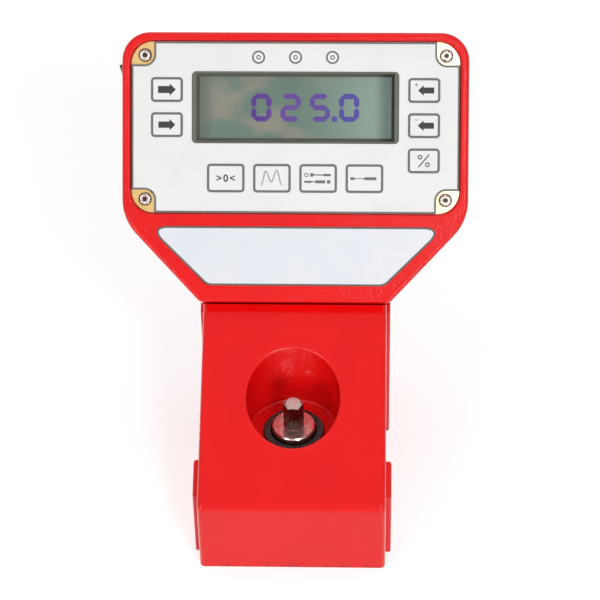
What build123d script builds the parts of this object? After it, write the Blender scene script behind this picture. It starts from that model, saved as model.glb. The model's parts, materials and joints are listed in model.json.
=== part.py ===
from build123d import *
import os
from collections import namedtuple
from math import cos, radians, sin, sqrt, tan

# Bench torque tester: a wedge-shaped cast base with an upright hexagon drive in a
# round well, and a tilted display head with a membrane keypad.
# The origin is on the bench, midway between the four bench-fixing holes.
# X is to the right, Y is to the back and Z is up. Sizes are in millimetres.

# Base casting
base_width = 105.0
base_depth = 154.0
front_height = 47.8
slope_angle = 27.0
base_wall = 6.0
nose_radius = 6.0
side_radius = 3.0
rear_radius = 5.0
ceiling_radius = 5.0

# Bench pads on the flanks, one at each corner hole
pad_setback = 12.4
pad_length = 19.0
pad_drop = 10.0
front_pad_proud = 3.2
rear_pad_proud = 2.2
pad_radius = 1.5
bench_pitch_x = 92.0
bench_pitch_y = 98.3
bench_tap_radius = 3.4
bench_tap_depth = 20.0
bench_boss_radius = 9.5
bench_boss_height = 26.0

# Drive well and the bores below it
drive_from_front = 58.6
well_radius = 26.4
well_floor_height = 49.0
well_rim_radius = 1.2
well_foot_radius = 2.0
spot_face_radius = 21.0
spot_face_depth = 0.5
well_tube_wall = 6.6
bearing_seat_height = 39.0
bearing_lip_height = 36.0
bearing_lip_width = 2.4
chamber_radius = 24.0
ledge_top = 23.0
ledge_height = 16.0
ledge_radius = 18.0
flange_recess_gap = 0.5
rib_thickness = 5.0
rib_offset = 20.0
lead_port_height = 29.5
lead_port_radius = 4.0

# Base plate
plate_thickness = 2.5
plate_recess = 3.0
plate_rim = 4.0
plate_clearance = 0.4
plate_corner_radius = 3.0
plate_screw_x = 25.0
plate_screw_radius = 2.0
plate_screw_head_radius = 4.0
plate_screw_socket = 1.4
plate_screw_length = 10.0
plate_boss_radius = 5.0
plate_boss_height = 14.0
plate_boss_overlap = 1.0

# Drive spindle, its bearing and its lock ring
hex_across_flats = 10.0
hex_top_height = 72.95
hex_chamfer = 0.9
disc_radius = 12.4
disc_top_height = 55.6
disc_chamfer = 0.7
journal_radius = 8.5
journal_shoulder_radius = 10.0
bearing_radius = 15.0
bearing_width = 7.0
bearing_inner_wall = 2.3
bearing_outer_wall = 2.1
ball_count = 11
groove_depth = 0.85
race_clearance = 0.05
fit_clearance = 0.03
torque_section_radius = 7.5
torque_section_bottom = 25.0
torque_section_top = 34.0
torque_section_taper = 1.0
gauge_flat = 13.0
gauge_thickness = 0.3
gauge_width = 5.0
gauge_length = 6.0
hub_radius = 12.0
flange_radius = 26.5
flange_thickness = 8.0
flange_screw_circle = 22.0
flange_screw_count = 6
ring_overhang = 2.3
ring_gap = 0.5
ring_height = 3.0
ring_chamfer = 0.6
ring_teeth = 48
ring_tooth_depth = 0.6
ring_skirt_wall = 1.6

# Display head casing, measured in the plane of its face
head_width = 196.4
head_height = 153.0
head_bottom_width = 107.8
head_shoulder = 47.0
head_edge_from_front = 101.6
head_edge_height = 109.8
head_tilt = 52.1
head_seat_gap = 1.5
shell_depth = 26.0
gasket_thickness = 1.0
cover_depth = 7.0
head_wall = 3.8
top_corner_radius = 16.0
shoulder_radius = 29.0
bottom_corner_radius = 4.5
face_edge_radius = 2.4
cover_edge_radius = 3.0
cover_floor = 3.4
front_wall = 4.0
gasket_inset = 0.8
boss_radius = 5.0

# Panel recess, its layers and the four panel screws
panel_rim = 4.65
panel_bottom = 50.3
panel_corner_radius = 13.0
panel_recess = 5.0
recess_edge_radius = 1.2
ledge_wall = 3.0
ledge_width = 6.5
panel_boss_radius = 5.5
panel_boss_switch_gap = 1.7
panel_boss_relief = 7.0
overlay_depth = 1.8
overlay_thickness = 0.8
spacer_thickness = 0.8
panel_clearance = 0.6
corner_cut_width = 13.0
corner_cut_height = 13.0
corner_cut_radius = 5.6
panel_screw_inset = 8.3

# Keys
side_key_width = 17.8
side_key_height = 13.7
side_key_inset = 20.75
side_key_drop = 27.75
side_key_pitch = 19.85
row_key_width = 21.0
row_key_height = 15.9
row_margin_spaces = 2.7
row_key_rise = 20.4
key_corner_radius = 2.0
key_gap = 0.2
key_thickness = 0.8
key_proud = 0.1
key_edge_bevel = 0.15
dome_radius = 4.0
dome_height = 0.4
dome_taper = 50.0

# Liquid crystal display and indicators
frame_key_gap = 5.3
view_height = 34.9
frame_side = 4.15
frame_edge = 2.8
frame_drop = 37.65
frame_corner_radius = 2.4
window_gap = 0.1
bezel_depth = 2.9
bezel_wall = 0.8
bezel_face = 2.5
bezel_bevel = 2.0
bezel_gap = 0.4
display_board_front = 9.0
glass_gap = 0.1
glass_thickness = 2.0
board_thickness = 1.6
board_corner_radius = 2.0
display_board_side = 6.4
display_board_below = 4.5
display_board_over_leds = 3.0
display_spacer_radius = 2.5
display_spacer_inset = 4.5
led_pitch = 20.9
led_drop = 9.35
led_window_radius = 2.7
led_window_lip = 0.6
led_radius = 1.45
led_collar_radius = 1.9
led_collar_height = 1.0
led_tip_depth = 4.2
led_dome_share = 0.9

# Main board on its standoffs
main_board_side_gap = 12.2
main_board_end_gap = 1.8
board_parts_gap = 3.0
standoff_across_flats = 5.5
standoff_inset = 4.0
standoff_bore_depth = 8.0
chip_thickness = 1.6
chip_bevel = 0.2
# Places of the chips and capacitors are taken from the middle of the board
chips = [
    ((8.0, -1.0), 20.0, 20.0),
    ((-42.0, -15.0), 18.0, 10.0),
    ((-16.0, -23.0), 12.0, 8.0),
    ((48.0, -15.0), 14.0, 14.0),
    ((10.0, 29.0), 16.0, 8.0),
]
capacitors = [(30.0, -31.0), (44.0, -33.0), (-44.0, -33.0)]
capacitor_radius = 5.0
capacitor_height = 8.0
capacitor_edge = 0.8
lead_plug_width = 14.0
lead_plug_length = 8.0
lead_plug_height = 6.0
lead_plug_margin = 1.0

# Label plate
label_panel_gap = 7.6
label_bottom = 10.7
label_top_side = 15.55
label_bottom_side = 13.4
label_corner_radius = 3.0
label_recess = 1.2
label_thickness = 0.8
label_gap = 0.4
label_edge_radius = 0.5
label_plate_bevel = 0.15

# Power rocker on the left flank of the head
rocker_drop = 24.0
rocker_rear_gap = 6.5
rocker_radius = 6.5
rocker_width = 7.0
rocker_gap = 0.3
rocker_tilt = 9.0
rocker_pivot_drop = 1.5
rocker_belly = 2.5
trunnion_radius = 1.0
trunnion_reach = 0.7
trunnion_clearance = 0.1
switch_flange_length = 16.4
switch_flange_width = 11.0
switch_flange_thickness = 1.2
switch_flange_bevel = 0.4
switch_body_length = 14.8
switch_body_width = 9.6
switch_body_depth = 12.0
switch_pocket_depth = 5.8
switch_corner_radius = 1.0
tag_width = 4.8
tag_thickness = 0.8
tag_length = 6.0
tag_pitch = 7.0

# Sockets on the rear cover
socket_drop = 41.0
dc_socket_u = 38.0
dc_socket_radius = 5.5
dc_socket_length = 9.0
dc_flange_radius = 7.5
dc_flange_thickness = 1.5
dc_flange_bevel = 0.5
dc_bore_radius = 2.75
dc_bore_depth = 8.5
dc_pin_radius = 1.05
dc_nut_across_flats = 14.0
dc_nut_thickness = 2.4
serial_u = -30.0
serial_flange_width = 30.8
serial_flange_height = 12.5
serial_flange_thickness = 1.0
serial_shell_width = 16.9
serial_shell_height = 8.3
serial_shell_slant = 10.0
serial_shell_length = 5.8
serial_body_width = 19.2
serial_body_height = 10.6
serial_body_length = 7.0
serial_corner_radius = 1.6
serial_contact_radius = 0.6
serial_contact_pitch = 2.77
serial_long_row = 5
serial_short_row = 4
serial_row_pitch = 2.84
serial_post_pitch = 24.9
serial_post_across_flats = 4.8
serial_post_height = 4.8
serial_post_radius = 1.5
serial_post_bore = 1.2

# Lead of the strain gauges and its grommet
lead_radius = 2.0
lead_bend_radius = 8.0
lead_inner_bend_radius = 6.0
lead_hole_v = 12.0
grommet_hole_gap = 0.5
grommet_groove_radius = 6.0
grommet_flange_radius = 8.0
grommet_flange_thickness = 1.5
grommet_flange_taper = 0.5
grommet_clearance = 0.1

# Screws: radii of shank, head and socket, height and edge of the head, length of the shank
Screw = namedtuple("Screw", "shank head socket height edge length")
flange_screw = Screw(shank=2.5, head=4.2, socket=2.3, height=4.4, edge=0.8, length=14.0)
panel_screw = Screw(shank=2.0, head=3.8, socket=1.5, height=2.2, edge=1.7, length=8.0)
cover_screw = Screw(shank=1.5, head=2.9, socket=1.4, height=2.2, edge=0.4, length=14.0)
head_bolt = Screw(shank=2.5, head=4.2, socket=2.3, height=5.0, edge=1.0, length=12.0)
board_screw = Screw(shank=1.5, head=2.75, socket=1.1, height=1.8, edge=0.4, length=7.0)
display_screw = Screw(shank=1.25, head=2.3, socket=0.9, height=1.5, edge=0.3, length=5.0)
socket_depth_share = 0.6
cover_screw_inset = 7.8
cover_screw_top_side = 22.2
cover_screw_middle_v = 72.0
cover_screw_low_side = 11.4
cover_screw_low_v = 26.0
head_bolt_u = 36.0
head_bolt_low = 9.5
head_bolt_high = 24.5
seat_boss_radius = 8.5
seat_boss_depth = 11.0
hole_clearance = 0.25
thread_clearance = 0.05

# How far a cut runs past a face, the size of a cut larger than the object, and what counts as touching
overcut = 1.0
beyond = 400.0
touch = 0.01

# Places that follow from the sizes above
slope_rise = tan(radians(slope_angle))
front_y = -(pad_setback + pad_length / 2 + bench_pitch_y / 2)
rear_y = front_y + base_depth
drive_y = front_y + drive_from_front
head_depth = shell_depth + gasket_thickness + cover_depth
overlay_back = overlay_depth + overlay_thickness
spacer_back = overlay_back + spacer_thickness
panel_width = head_width - 2 * panel_rim
panel_top = head_height - panel_rim
panel_height = panel_top - panel_bottom
panel_middle = (panel_top + panel_bottom) / 2
head_side_slope = (head_width - head_bottom_width) / 2 / head_shoulder
label_top = panel_bottom - label_panel_gap
label_top_half = head_bottom_width / 2 + label_top * head_side_slope - label_top_side
label_bottom_half = head_bottom_width / 2 + label_bottom * head_side_slope - label_bottom_side
ledge_back = panel_recess + ledge_wall
cover_front = shell_depth + gasket_thickness
cover_inside = head_depth - cover_floor
cover_screw_seat = head_depth - cover_screw.height
cover_screw_tip = cover_screw_seat - cover_screw.length
cover_screw_top_u = head_width / 2 - cover_screw_top_side
cover_screw_low_u = head_bottom_width / 2 + cover_screw_low_v * head_side_slope - cover_screw_low_side
bearing_top = bearing_seat_height + bearing_width
bearing_middle = bearing_seat_height + bearing_width / 2
bearing_inner_radius = journal_radius + bearing_inner_wall
bearing_outer_bore = bearing_radius - bearing_outer_wall
bearing_lip_radius = bearing_radius - bearing_lip_width
race_middle = (bearing_inner_radius + bearing_outer_bore) / 2
ball_radius = (bearing_outer_bore - bearing_inner_radius) / 2 + groove_depth
ring_radius = bearing_radius + ring_overhang
ring_bore = disc_radius + ring_gap
ring_skirt_bore = bearing_radius - ring_skirt_wall
well_tube_radius = well_radius + well_tube_wall
flange_recess_radius = flange_radius + flange_recess_gap
lead_hole_radius = grommet_flange_radius + grommet_hole_gap
flange_bottom = ledge_height - flange_thickness
plate_underside = plate_recess - plate_thickness
key_depth = overlay_depth - key_proud
side_key_u = panel_width / 2 - side_key_inset
side_key_top = panel_top - side_key_drop
row_key_v = panel_bottom + row_key_rise
row_key_names = ["key_zero", "key_peak", "key_wrench", "key_driver"]
keys_apart = 2 * (side_key_u - side_key_width / 2)
row_spaces = len(row_key_names) - 1 + 2 * row_margin_spaces
row_key_space = (keys_apart - len(row_key_names) * row_key_width) / row_spaces
row_key_pitch = row_key_width + row_key_space
frame_width = keys_apart - 2 * frame_key_gap
view_width = frame_width - 2 * frame_side
frame_height = view_height + 2 * frame_edge
frame_middle = panel_top - frame_drop
led_v = panel_top - led_drop
display_board_width = frame_width + 2 * display_board_side
display_board_bottom = frame_middle - frame_height / 2 - display_board_below
display_board_top = led_v + display_board_over_leds
glass_width = frame_width - 2 * bezel_wall
glass_height = frame_height - 2 * bezel_wall
main_board_width = panel_width - 2 * (ledge_width + main_board_side_gap)
main_board_height = panel_height - 2 * (ledge_width + main_board_end_gap)
main_board_back = cover_inside - board_parts_gap - capacitor_height
main_board_depth = main_board_back - board_thickness
lead_plug_v = panel_middle - main_board_height / 2 + lead_plug_margin
lead_inner_depth = main_board_back + lead_plug_height / 2
display_board_back = display_board_front + board_thickness
socket_v = head_height - socket_drop
tilt = radians(head_tilt)
head_face = Plane(
    origin=(0, front_y + head_edge_from_front, head_edge_height),
    x_dir=(1, 0, 0),
    z_dir=(0, -sin(tilt), cos(tilt)),
)
drive_section = Plane(origin=(0, drive_y, 0), x_dir=(1, 0, 0), z_dir=(0, -1, 0))
drive_axis = Axis((0, drive_y, 0), (0, 0, 1))
rocker_v = head_height - rocker_drop
rocker_depth = shell_depth - rocker_rear_gap
panel_boss_back = rocker_depth - switch_body_width / 2 - panel_boss_switch_gap
panel_boss_length = panel_boss_back - panel_recess
switch_face = Plane(
    origin=head_face.from_local_coords((-head_width / 2, rocker_v, -rocker_depth)),
    x_dir=head_face.y_dir,
    z_dir=(-1, 0, 0),
)

bench_holes = [
    (x, y)
    for x in (-bench_pitch_x / 2, bench_pitch_x / 2)
    for y in (-bench_pitch_y / 2, bench_pitch_y / 2)
]
panel_screws_at = [
    (u, v)
    for u in (panel_screw_inset - panel_width / 2, panel_width / 2 - panel_screw_inset)
    for v in (panel_bottom + panel_screw_inset, panel_top - panel_screw_inset)
]
cover_screws_at = [
    (side * u, v)
    for side in (-1, 1)
    for u, v in (
        (cover_screw_top_u, head_height - cover_screw_inset),
        (head_width / 2 - cover_screw_inset, cover_screw_middle_v),
        (cover_screw_low_u, cover_screw_low_v),
    )
]
head_bolts_at = [
    (side * head_bolt_u, v) for side in (-1, 1) for v in (head_bolt_low, head_bolt_high)
]
plate_screws_at = [
    (x, y)
    for x in (-plate_screw_x, plate_screw_x)
    for y in (
        front_y + base_wall + plate_boss_radius - plate_boss_overlap,
        rear_y - base_wall - plate_boss_radius + plate_boss_overlap,
    )
]
display_spacers_at = [
    (side * (display_board_width / 2 - display_spacer_inset), v)
    for side in (-1, 1)
    for v in (
        display_board_bottom + display_spacer_inset,
        display_board_top - display_spacer_inset,
    )
]
standoffs_at = [
    (side * (main_board_width / 2 - standoff_inset), panel_middle + v)
    for side in (-1, 1)
    for v in (standoff_inset - main_board_height / 2, main_board_height / 2 - standoff_inset)
]
leds_at = [(step * led_pitch, led_v) for step in (-1, 0, 1)]

side_keys = {
    "key_left_upper": (-side_key_u, side_key_top),
    "key_left_lower": (-side_key_u, side_key_top - side_key_pitch),
    "key_right_upper": (side_key_u, side_key_top),
    "key_right_lower": (side_key_u, side_key_top - side_key_pitch),
    "key_percent": (side_key_u, side_key_top - 2 * side_key_pitch),
}
row_keys = {
    name: ((place - (len(row_key_names) - 1) / 2) * row_key_pitch, row_key_v)
    for place, name in enumerate(row_key_names)
}

os.makedirs("parts", exist_ok=True)


def slope_height(y):
    """Height of the base's sloping top above the bench at a place along Y."""
    return front_height + slope_rise * (y - front_y)


def at_depth(depth):
    """Plane parallel to the head's face, a depth behind it."""
    return head_face.offset(-depth)


def from_behind(depth):
    """Plane parallel to the head's face that looks backwards, with its X towards the left."""
    return Plane(origin=at_depth(depth).origin, x_dir=(-1, 0, 0), z_dir=-head_face.z_dir)


def in_head(u, v, depth):
    """Point of the head: across its face, up its face and behind its face."""
    return head_face.from_local_coords((u, v, -depth))


def edges_at_depth(part, depth):
    """Edges that lie in the plane a depth behind the head's face."""
    return ShapeList(
        edge
        for edge in part.edges()
        if all(abs(head_face.to_local_coords(edge @ t).Z + depth) < touch for t in (0, 0.5, 1))
    )


def socket_screws(plane, places, size, finish_edge=chamfer):
    """Screws with hexagon sockets: heads stand on the plane, shanks go down through it."""
    with BuildPart() as group:
        with BuildSketch(plane):
            with Locations(*places):
                Circle(size.head)
        extrude(amount=size.height)
        rims = group.edges().filter_by(
            lambda e: abs(plane.to_local_coords(e.center()).Z - size.height) < touch
        )
        finish_edge(rims, size.edge)
        with BuildSketch(plane.offset(-size.length)):
            with Locations(*places):
                Circle(size.shank)
        extrude(amount=size.length)
        with BuildSketch(plane.offset(size.height)):
            with Locations(*places):
                RegularPolygon(size.socket, 6)
        extrude(amount=-socket_depth_share * size.height, mode=Mode.SUBTRACT)
    return group.part


def head_outline(inset=0.0):
    """Outline of the display head: a rectangle whose lower corners are cut off."""
    half = head_width / 2
    with BuildSketch() as outline:
        with BuildLine():
            Polyline(
                (-head_bottom_width / 2, 0),
                (head_bottom_width / 2, 0),
                (half, head_shoulder),
                (half, head_height),
                (-half, head_height),
                (-half, head_shoulder),
                close=True,
            )
        make_face()
        rows = outline.vertices().group_by(Axis.Y)
        fillet(rows[2], top_corner_radius)
        rows = outline.vertices().group_by(Axis.Y)
        fillet(rows[0], bottom_corner_radius)
        shoulders = [v for v in outline.vertices() if abs(v.Y - head_shoulder) < touch]
        fillet(shoulders, shoulder_radius)
        if inset:
            offset(amount=-inset)
    return outline.sketch


def label_outline(inset=0.0):
    """Outline of the trapezoid label below the panel."""
    with BuildSketch() as outline:
        with BuildLine():
            Polyline(
                (-label_bottom_half, label_bottom),
                (label_bottom_half, label_bottom),
                (label_top_half, label_top),
                (-label_top_half, label_top),
                close=True,
            )
        make_face()
        fillet(outline.vertices(), label_corner_radius)
        if inset:
            offset(amount=-inset)
    return outline.sketch


def layer_outline():
    """Outline of the keypad layers, cut back at the four panel screws."""
    width = panel_width - 2 * panel_clearance
    height = panel_height - 2 * panel_clearance
    with BuildSketch() as outline:
        with Locations((0, panel_middle)):
            Rectangle(width, height)
            with GridLocations(width, height, 2, 2):
                RectangleRounded(
                    2 * corner_cut_width,
                    2 * corner_cut_height,
                    corner_cut_radius,
                    mode=Mode.SUBTRACT,
                )
    return outline.sketch


def key_windows():
    """Openings for the nine keys, with a gap all round."""
    with BuildSketch() as windows:
        with Locations(*side_keys.values()):
            RectangleRounded(
                side_key_width + 2 * key_gap,
                side_key_height + 2 * key_gap,
                key_corner_radius + key_gap,
            )
        with Locations(*row_keys.values()):
            RectangleRounded(
                row_key_width + 2 * key_gap,
                row_key_height + 2 * key_gap,
                key_corner_radius + key_gap,
            )
    return windows.sketch


def display_outline(gap=0.0):
    """Outline of the display's frame, grown by a gap all round."""
    with BuildSketch() as outline:
        with Locations((0, frame_middle)):
            RectangleRounded(
                frame_width + 2 * gap,
                frame_height + 2 * gap,
                frame_corner_radius + gap,
            )
    return outline.sketch


def serial_outline():
    """Outline of the data connector's shell: wider at its top, with rounded corners."""
    with BuildSketch() as outline:
        with Locations((serial_u, socket_v)):
            Trapezoid(
                serial_shell_width,
                serial_shell_height,
                90 - serial_shell_slant,
                rotation=180,
            )
        fillet(outline.vertices(), serial_corner_radius)
    return outline.sketch


def rocker_section(angle):
    """Plane across the rocker's pivot, turned so that its upper end stands out by an angle."""
    middle = switch_face.offset(switch_flange_thickness - rocker_pivot_drop)
    upwards = middle.x_dir * cos(radians(angle)) + middle.z_dir * sin(radians(angle))
    return Plane(origin=middle.origin, x_dir=upwards, z_dir=-middle.y_dir)


def pad_profile(start):
    """Side view of a flank pad, its top parallel to the slope."""
    with BuildSketch() as profile:
        with BuildLine():
            Polyline(
                (start, 0),
                (start, slope_height(start) - pad_drop),
                (start + pad_length, slope_height(start + pad_length) - pad_drop),
                (start + pad_length, 0),
                close=True,
            )
        make_face()
    return profile.sketch


# Hollow inside the base casting, with its bosses, ribs and well tube left standing
with BuildPart() as base_hollow:
    with BuildSketch(Plane.YZ):
        with BuildLine():
            Polyline(
                (front_y + base_wall, 0),
                (front_y + base_wall, slope_height(front_y) - base_wall),
                (rear_y - base_wall, slope_height(rear_y) - base_wall * (1 + slope_rise)),
                (rear_y - base_wall, 0),
                close=True,
            )
        make_face()
    extrude(amount=base_width / 2 - base_wall, both=True)
    with BuildSketch(at_depth(head_depth + base_wall)):
        with Locations((0, beyond / 2 - head_seat_gap - base_wall)):
            Rectangle(beyond, beyond)
    extrude(amount=beyond, mode=Mode.SUBTRACT)
    fillet(base_hollow.edges().filter_by(Axis.Z), ceiling_radius)
    with BuildSketch():
        with Locations((0, drive_y)):
            Circle(well_tube_radius)
        with Locations(*bench_holes):
            Circle(bench_boss_radius)
    extrude(amount=bench_boss_height, mode=Mode.SUBTRACT)
    with BuildSketch():
        with Locations((0, drive_y)):
            Circle(well_tube_radius)
    extrude(amount=slope_height(rear_y), mode=Mode.SUBTRACT)
    with BuildSketch():
        with Locations(*plate_screws_at):
            Circle(plate_boss_radius)
    extrude(amount=plate_boss_height, mode=Mode.SUBTRACT)
    with BuildSketch(at_depth(head_depth + seat_boss_depth)):
        with Locations(*head_bolts_at):
            Circle(seat_boss_radius)
    extrude(amount=seat_boss_depth, mode=Mode.SUBTRACT)
    with BuildSketch(Plane.XY.offset(plate_recess)):
        with Locations((0, drive_y)):
            Rectangle(base_width, rib_thickness)
        with Locations((0, (front_y + drive_y) / 2)):
            Rectangle(rib_thickness, drive_from_front)
        with Locations((-rib_offset, (drive_y + rear_y) / 2), (rib_offset, (drive_y + rear_y) / 2)):
            Rectangle(rib_thickness, rear_y - drive_y)
    extrude(amount=slope_height(rear_y), mode=Mode.SUBTRACT)

# Four flank pads, a front and a rear one on each side
with BuildPart() as flank_pads:
    for start, proud in (
        (front_y + pad_setback, front_pad_proud),
        (front_y + pad_setback + bench_pitch_y, rear_pad_proud),
    ):
        inner = base_width / 2 - base_wall / 2
        thickness = base_width / 2 + proud - inner
        with BuildSketch(Plane.YZ.offset(inner)):
            add(pad_profile(start))
        extrude(amount=thickness)
        with BuildSketch(Plane.YZ.offset(-inner)):
            add(pad_profile(start))
        extrude(amount=-thickness)
    outer_faces = flank_pads.faces().filter_by(Axis.X).filter_by(
        lambda f: abs(f.center().X) > base_width / 2
    )
    for face in outer_faces:
        rim = flank_pads.edges().filter_by(
            lambda e: abs(e.center().X - face.center().X) < touch
            and abs(e.center().Y - face.center().Y) < pad_length
            and e.center().Z > touch
        )
        fillet(rim, pad_radius)

# Cast base: wedge, flank pads, inclined seat for the head, and the stepped drive well
with BuildPart() as base_housing:
    with BuildSketch(Plane.YZ):
        with BuildLine():
            Polyline(
                (front_y, 0),
                (front_y, slope_height(front_y)),
                (rear_y, slope_height(rear_y)),
                (rear_y, 0),
                close=True,
            )
        make_face()
    extrude(amount=base_width / 2, both=True)
    nose = base_housing.edges().filter_by(Axis.X).group_by(Axis.Z)[1]
    fillet(nose, nose_radius)
    upright = base_housing.edges().filter_by(Axis.Z)
    fillet(upright.group_by(Axis.Y)[-1], rear_radius)
    flank = base_housing.edges().filter_by(
        lambda e: abs(abs(e.center().X) - base_width / 2) < touch
        and e.center().Z > touch
        and e.center().Y < rear_y - rear_radius
    )
    fillet(flank, side_radius)
    add(flank_pads.part)
    with BuildSketch(at_depth(head_depth)):
        with Locations((0, beyond / 2 - head_seat_gap)):
            Rectangle(beyond, beyond)
    extrude(amount=beyond, mode=Mode.SUBTRACT)
    add(base_hollow.part, mode=Mode.SUBTRACT)
    with BuildSketch(drive_section) as bores:
        with BuildLine():
            Polyline(
                (0, -overcut),
                (flange_recess_radius, -overcut),
                (flange_recess_radius, ledge_height),
                (ledge_radius, ledge_height),
                (ledge_radius, ledge_top),
                (chamber_radius, ledge_top),
                (chamber_radius, bearing_lip_height),
                (bearing_lip_radius, bearing_lip_height),
                (bearing_lip_radius, bearing_seat_height),
                (bearing_radius, bearing_seat_height),
                (bearing_radius, well_floor_height),
                (spot_face_radius, well_floor_height),
                (spot_face_radius, well_floor_height + spot_face_depth),
                (well_radius, well_floor_height + spot_face_depth),
                (well_radius, slope_height(rear_y)),
                (0, slope_height(rear_y)),
                close=True,
            )
        make_face()
        foot = (well_radius, well_floor_height + spot_face_depth)
        fillet(bores.vertices().sort_by_distance(foot)[0], well_foot_radius)
    revolve(axis=drive_axis, mode=Mode.SUBTRACT)
    rim = base_housing.edges().filter_by(
        lambda e: e.geom_type != GeomType.LINE
        and abs(e.center().Y - drive_y) < well_radius / 2
        and e.bounding_box().size.Z > well_radius * slope_rise
    )
    fillet(rim, well_rim_radius)
    with BuildSketch():
        with Locations((0, (front_y + rear_y) / 2)):
            RectangleRounded(
                base_width - 2 * plate_rim,
                base_depth - 2 * plate_rim,
                plate_corner_radius + plate_clearance,
            )
        with Locations(*bench_holes):
            Circle(bench_boss_radius, mode=Mode.SUBTRACT)
    extrude(amount=plate_recess, mode=Mode.SUBTRACT)
    with Locations(Plane.XY):
        with Locations(*bench_holes):
            Cylinder(
                bench_tap_radius,
                bench_tap_depth,
                align=(Align.CENTER, Align.CENTER, Align.MIN),
                mode=Mode.SUBTRACT,
            )
        with Locations(*plate_screws_at):
            Cylinder(
                plate_screw_radius + thread_clearance,
                plate_underside + plate_screw_length + overcut,
                align=(Align.CENTER, Align.CENTER, Align.MIN),
                mode=Mode.SUBTRACT,
            )
    with BuildSketch(Plane.XY.offset(ledge_height)):
        with Locations((0, drive_y)):
            with PolarLocations(flange_screw_circle, flange_screw_count):
                Circle(flange_screw.shank + thread_clearance)
    extrude(amount=ledge_top - ledge_height, mode=Mode.SUBTRACT)
    with BuildSketch(Plane.XZ.offset(-drive_y)):
        with Locations((0, lead_port_height)):
            Circle(lead_port_radius)
    extrude(amount=-(well_tube_radius + overcut), mode=Mode.SUBTRACT)
    with BuildSketch(at_depth(head_depth)):
        with Locations(*head_bolts_at):
            Circle(head_bolt.shank + thread_clearance)
    extrude(amount=-(head_bolt.length - cover_floor + overcut), mode=Mode.SUBTRACT)
    with BuildSketch(at_depth(head_depth)):
        with Locations((0, lead_hole_v)):
            Circle(lead_hole_radius)
    extrude(amount=-(base_wall + overcut), mode=Mode.SUBTRACT)
base_housing.part.label = "base_housing"
export_step(base_housing.part, "parts/base_housing.step")

# Bottom cover, let into the rim of the base and cut back round the bench bosses
with BuildPart() as base_plate:
    with BuildSketch(Plane.XY.offset(plate_underside)):
        with Locations((0, (front_y + rear_y) / 2)):
            RectangleRounded(
                base_width - 2 * (plate_rim + plate_clearance),
                base_depth - 2 * (plate_rim + plate_clearance),
                plate_corner_radius,
            )
        with Locations(*bench_holes):
            Circle(bench_boss_radius + plate_clearance, mode=Mode.SUBTRACT)
        with Locations(*plate_screws_at):
            Circle(plate_screw_radius + hole_clearance, mode=Mode.SUBTRACT)
    extrude(amount=plate_thickness)
    with Locations(Plane.XY.offset(plate_underside)):
        with Locations(*plate_screws_at):
            Cone(
                plate_screw_head_radius + hole_clearance,
                plate_screw_radius + hole_clearance,
                plate_screw_head_radius - plate_screw_radius,
                align=(Align.CENTER, Align.CENTER, Align.MIN),
                mode=Mode.SUBTRACT,
            )
base_plate.part.label = "base_plate"
export_step(base_plate.part, "parts/base_plate.step")

# Countersunk screws of the bottom cover
with BuildPart() as base_plate_screws:
    with Locations(Plane.XY.offset(plate_underside)):
        with Locations(*plate_screws_at):
            Cone(
                plate_screw_head_radius,
                plate_screw_radius,
                plate_screw_head_radius - plate_screw_radius,
                align=(Align.CENTER, Align.CENTER, Align.MIN),
            )
            Cylinder(
                plate_screw_radius,
                plate_screw_length,
                align=(Align.CENTER, Align.CENTER, Align.MIN),
            )
    with BuildSketch(Plane.XY.offset(plate_underside)):
        with Locations(*plate_screws_at):
            RegularPolygon(plate_screw_socket, 6)
    extrude(amount=plate_screw_radius, mode=Mode.SUBTRACT)
base_plate_screws.part.label = "base_plate_screws"
export_step(base_plate_screws.part, "parts/base_plate_screws.step")

# Spindle: hexagon, disc, bearing journal, thin torque section and bolting flange in one
with BuildPart() as drive_spindle:
    with BuildSketch(drive_section):
        with BuildLine():
            Polyline(
                (0, flange_bottom),
                (flange_radius, flange_bottom),
                (flange_radius, ledge_height - fit_clearance),
                (hub_radius, ledge_height - fit_clearance),
                (hub_radius, ledge_top - torque_section_taper),
                (torque_section_radius, torque_section_bottom),
                (torque_section_radius, torque_section_top),
                (journal_radius - fit_clearance, torque_section_top + torque_section_taper),
                (journal_radius - fit_clearance, bearing_top),
                (journal_shoulder_radius, bearing_top),
                (journal_shoulder_radius, well_floor_height),
                (disc_radius, well_floor_height),
                (disc_radius, disc_top_height - disc_chamfer),
                (disc_radius - disc_chamfer, disc_top_height),
                (0, disc_top_height),
                close=True,
            )
        make_face()
    revolve(axis=drive_axis)
    with BuildSketch(Plane.XY.offset(disc_top_height)):
        with Locations((0, drive_y)):
            RegularPolygon(hex_across_flats / 2, 6, major_radius=False)
    extrude(amount=hex_top_height - disc_top_height)
    with BuildSketch(drive_section):
        corner = hex_across_flats / sqrt(3)
        with BuildLine():
            Polyline(
                (corner - 2 * hex_chamfer, hex_top_height),
                (corner + overcut, hex_top_height),
                (corner + overcut, hex_top_height - 2 * hex_chamfer),
                (corner, hex_top_height - hex_chamfer),
                close=True,
            )
        make_face()
    revolve(axis=drive_axis, mode=Mode.SUBTRACT)
    with BuildSketch(Plane.XY.offset(torque_section_bottom)):
        with Locations((0, drive_y)):
            Circle(torque_section_radius + overcut)
            Rectangle(gauge_flat, gauge_flat, mode=Mode.SUBTRACT)
    extrude(amount=torque_section_top - torque_section_bottom, mode=Mode.SUBTRACT)
    with BuildSketch(Plane.XY.offset(flange_bottom)):
        with Locations((0, drive_y)):
            with PolarLocations(flange_screw_circle, flange_screw_count):
                Circle(flange_screw.shank + hole_clearance)
    extrude(amount=flange_thickness, mode=Mode.SUBTRACT)
drive_spindle.part.label = "drive_spindle"
export_step(drive_spindle.part, "parts/drive_spindle.step")

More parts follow.
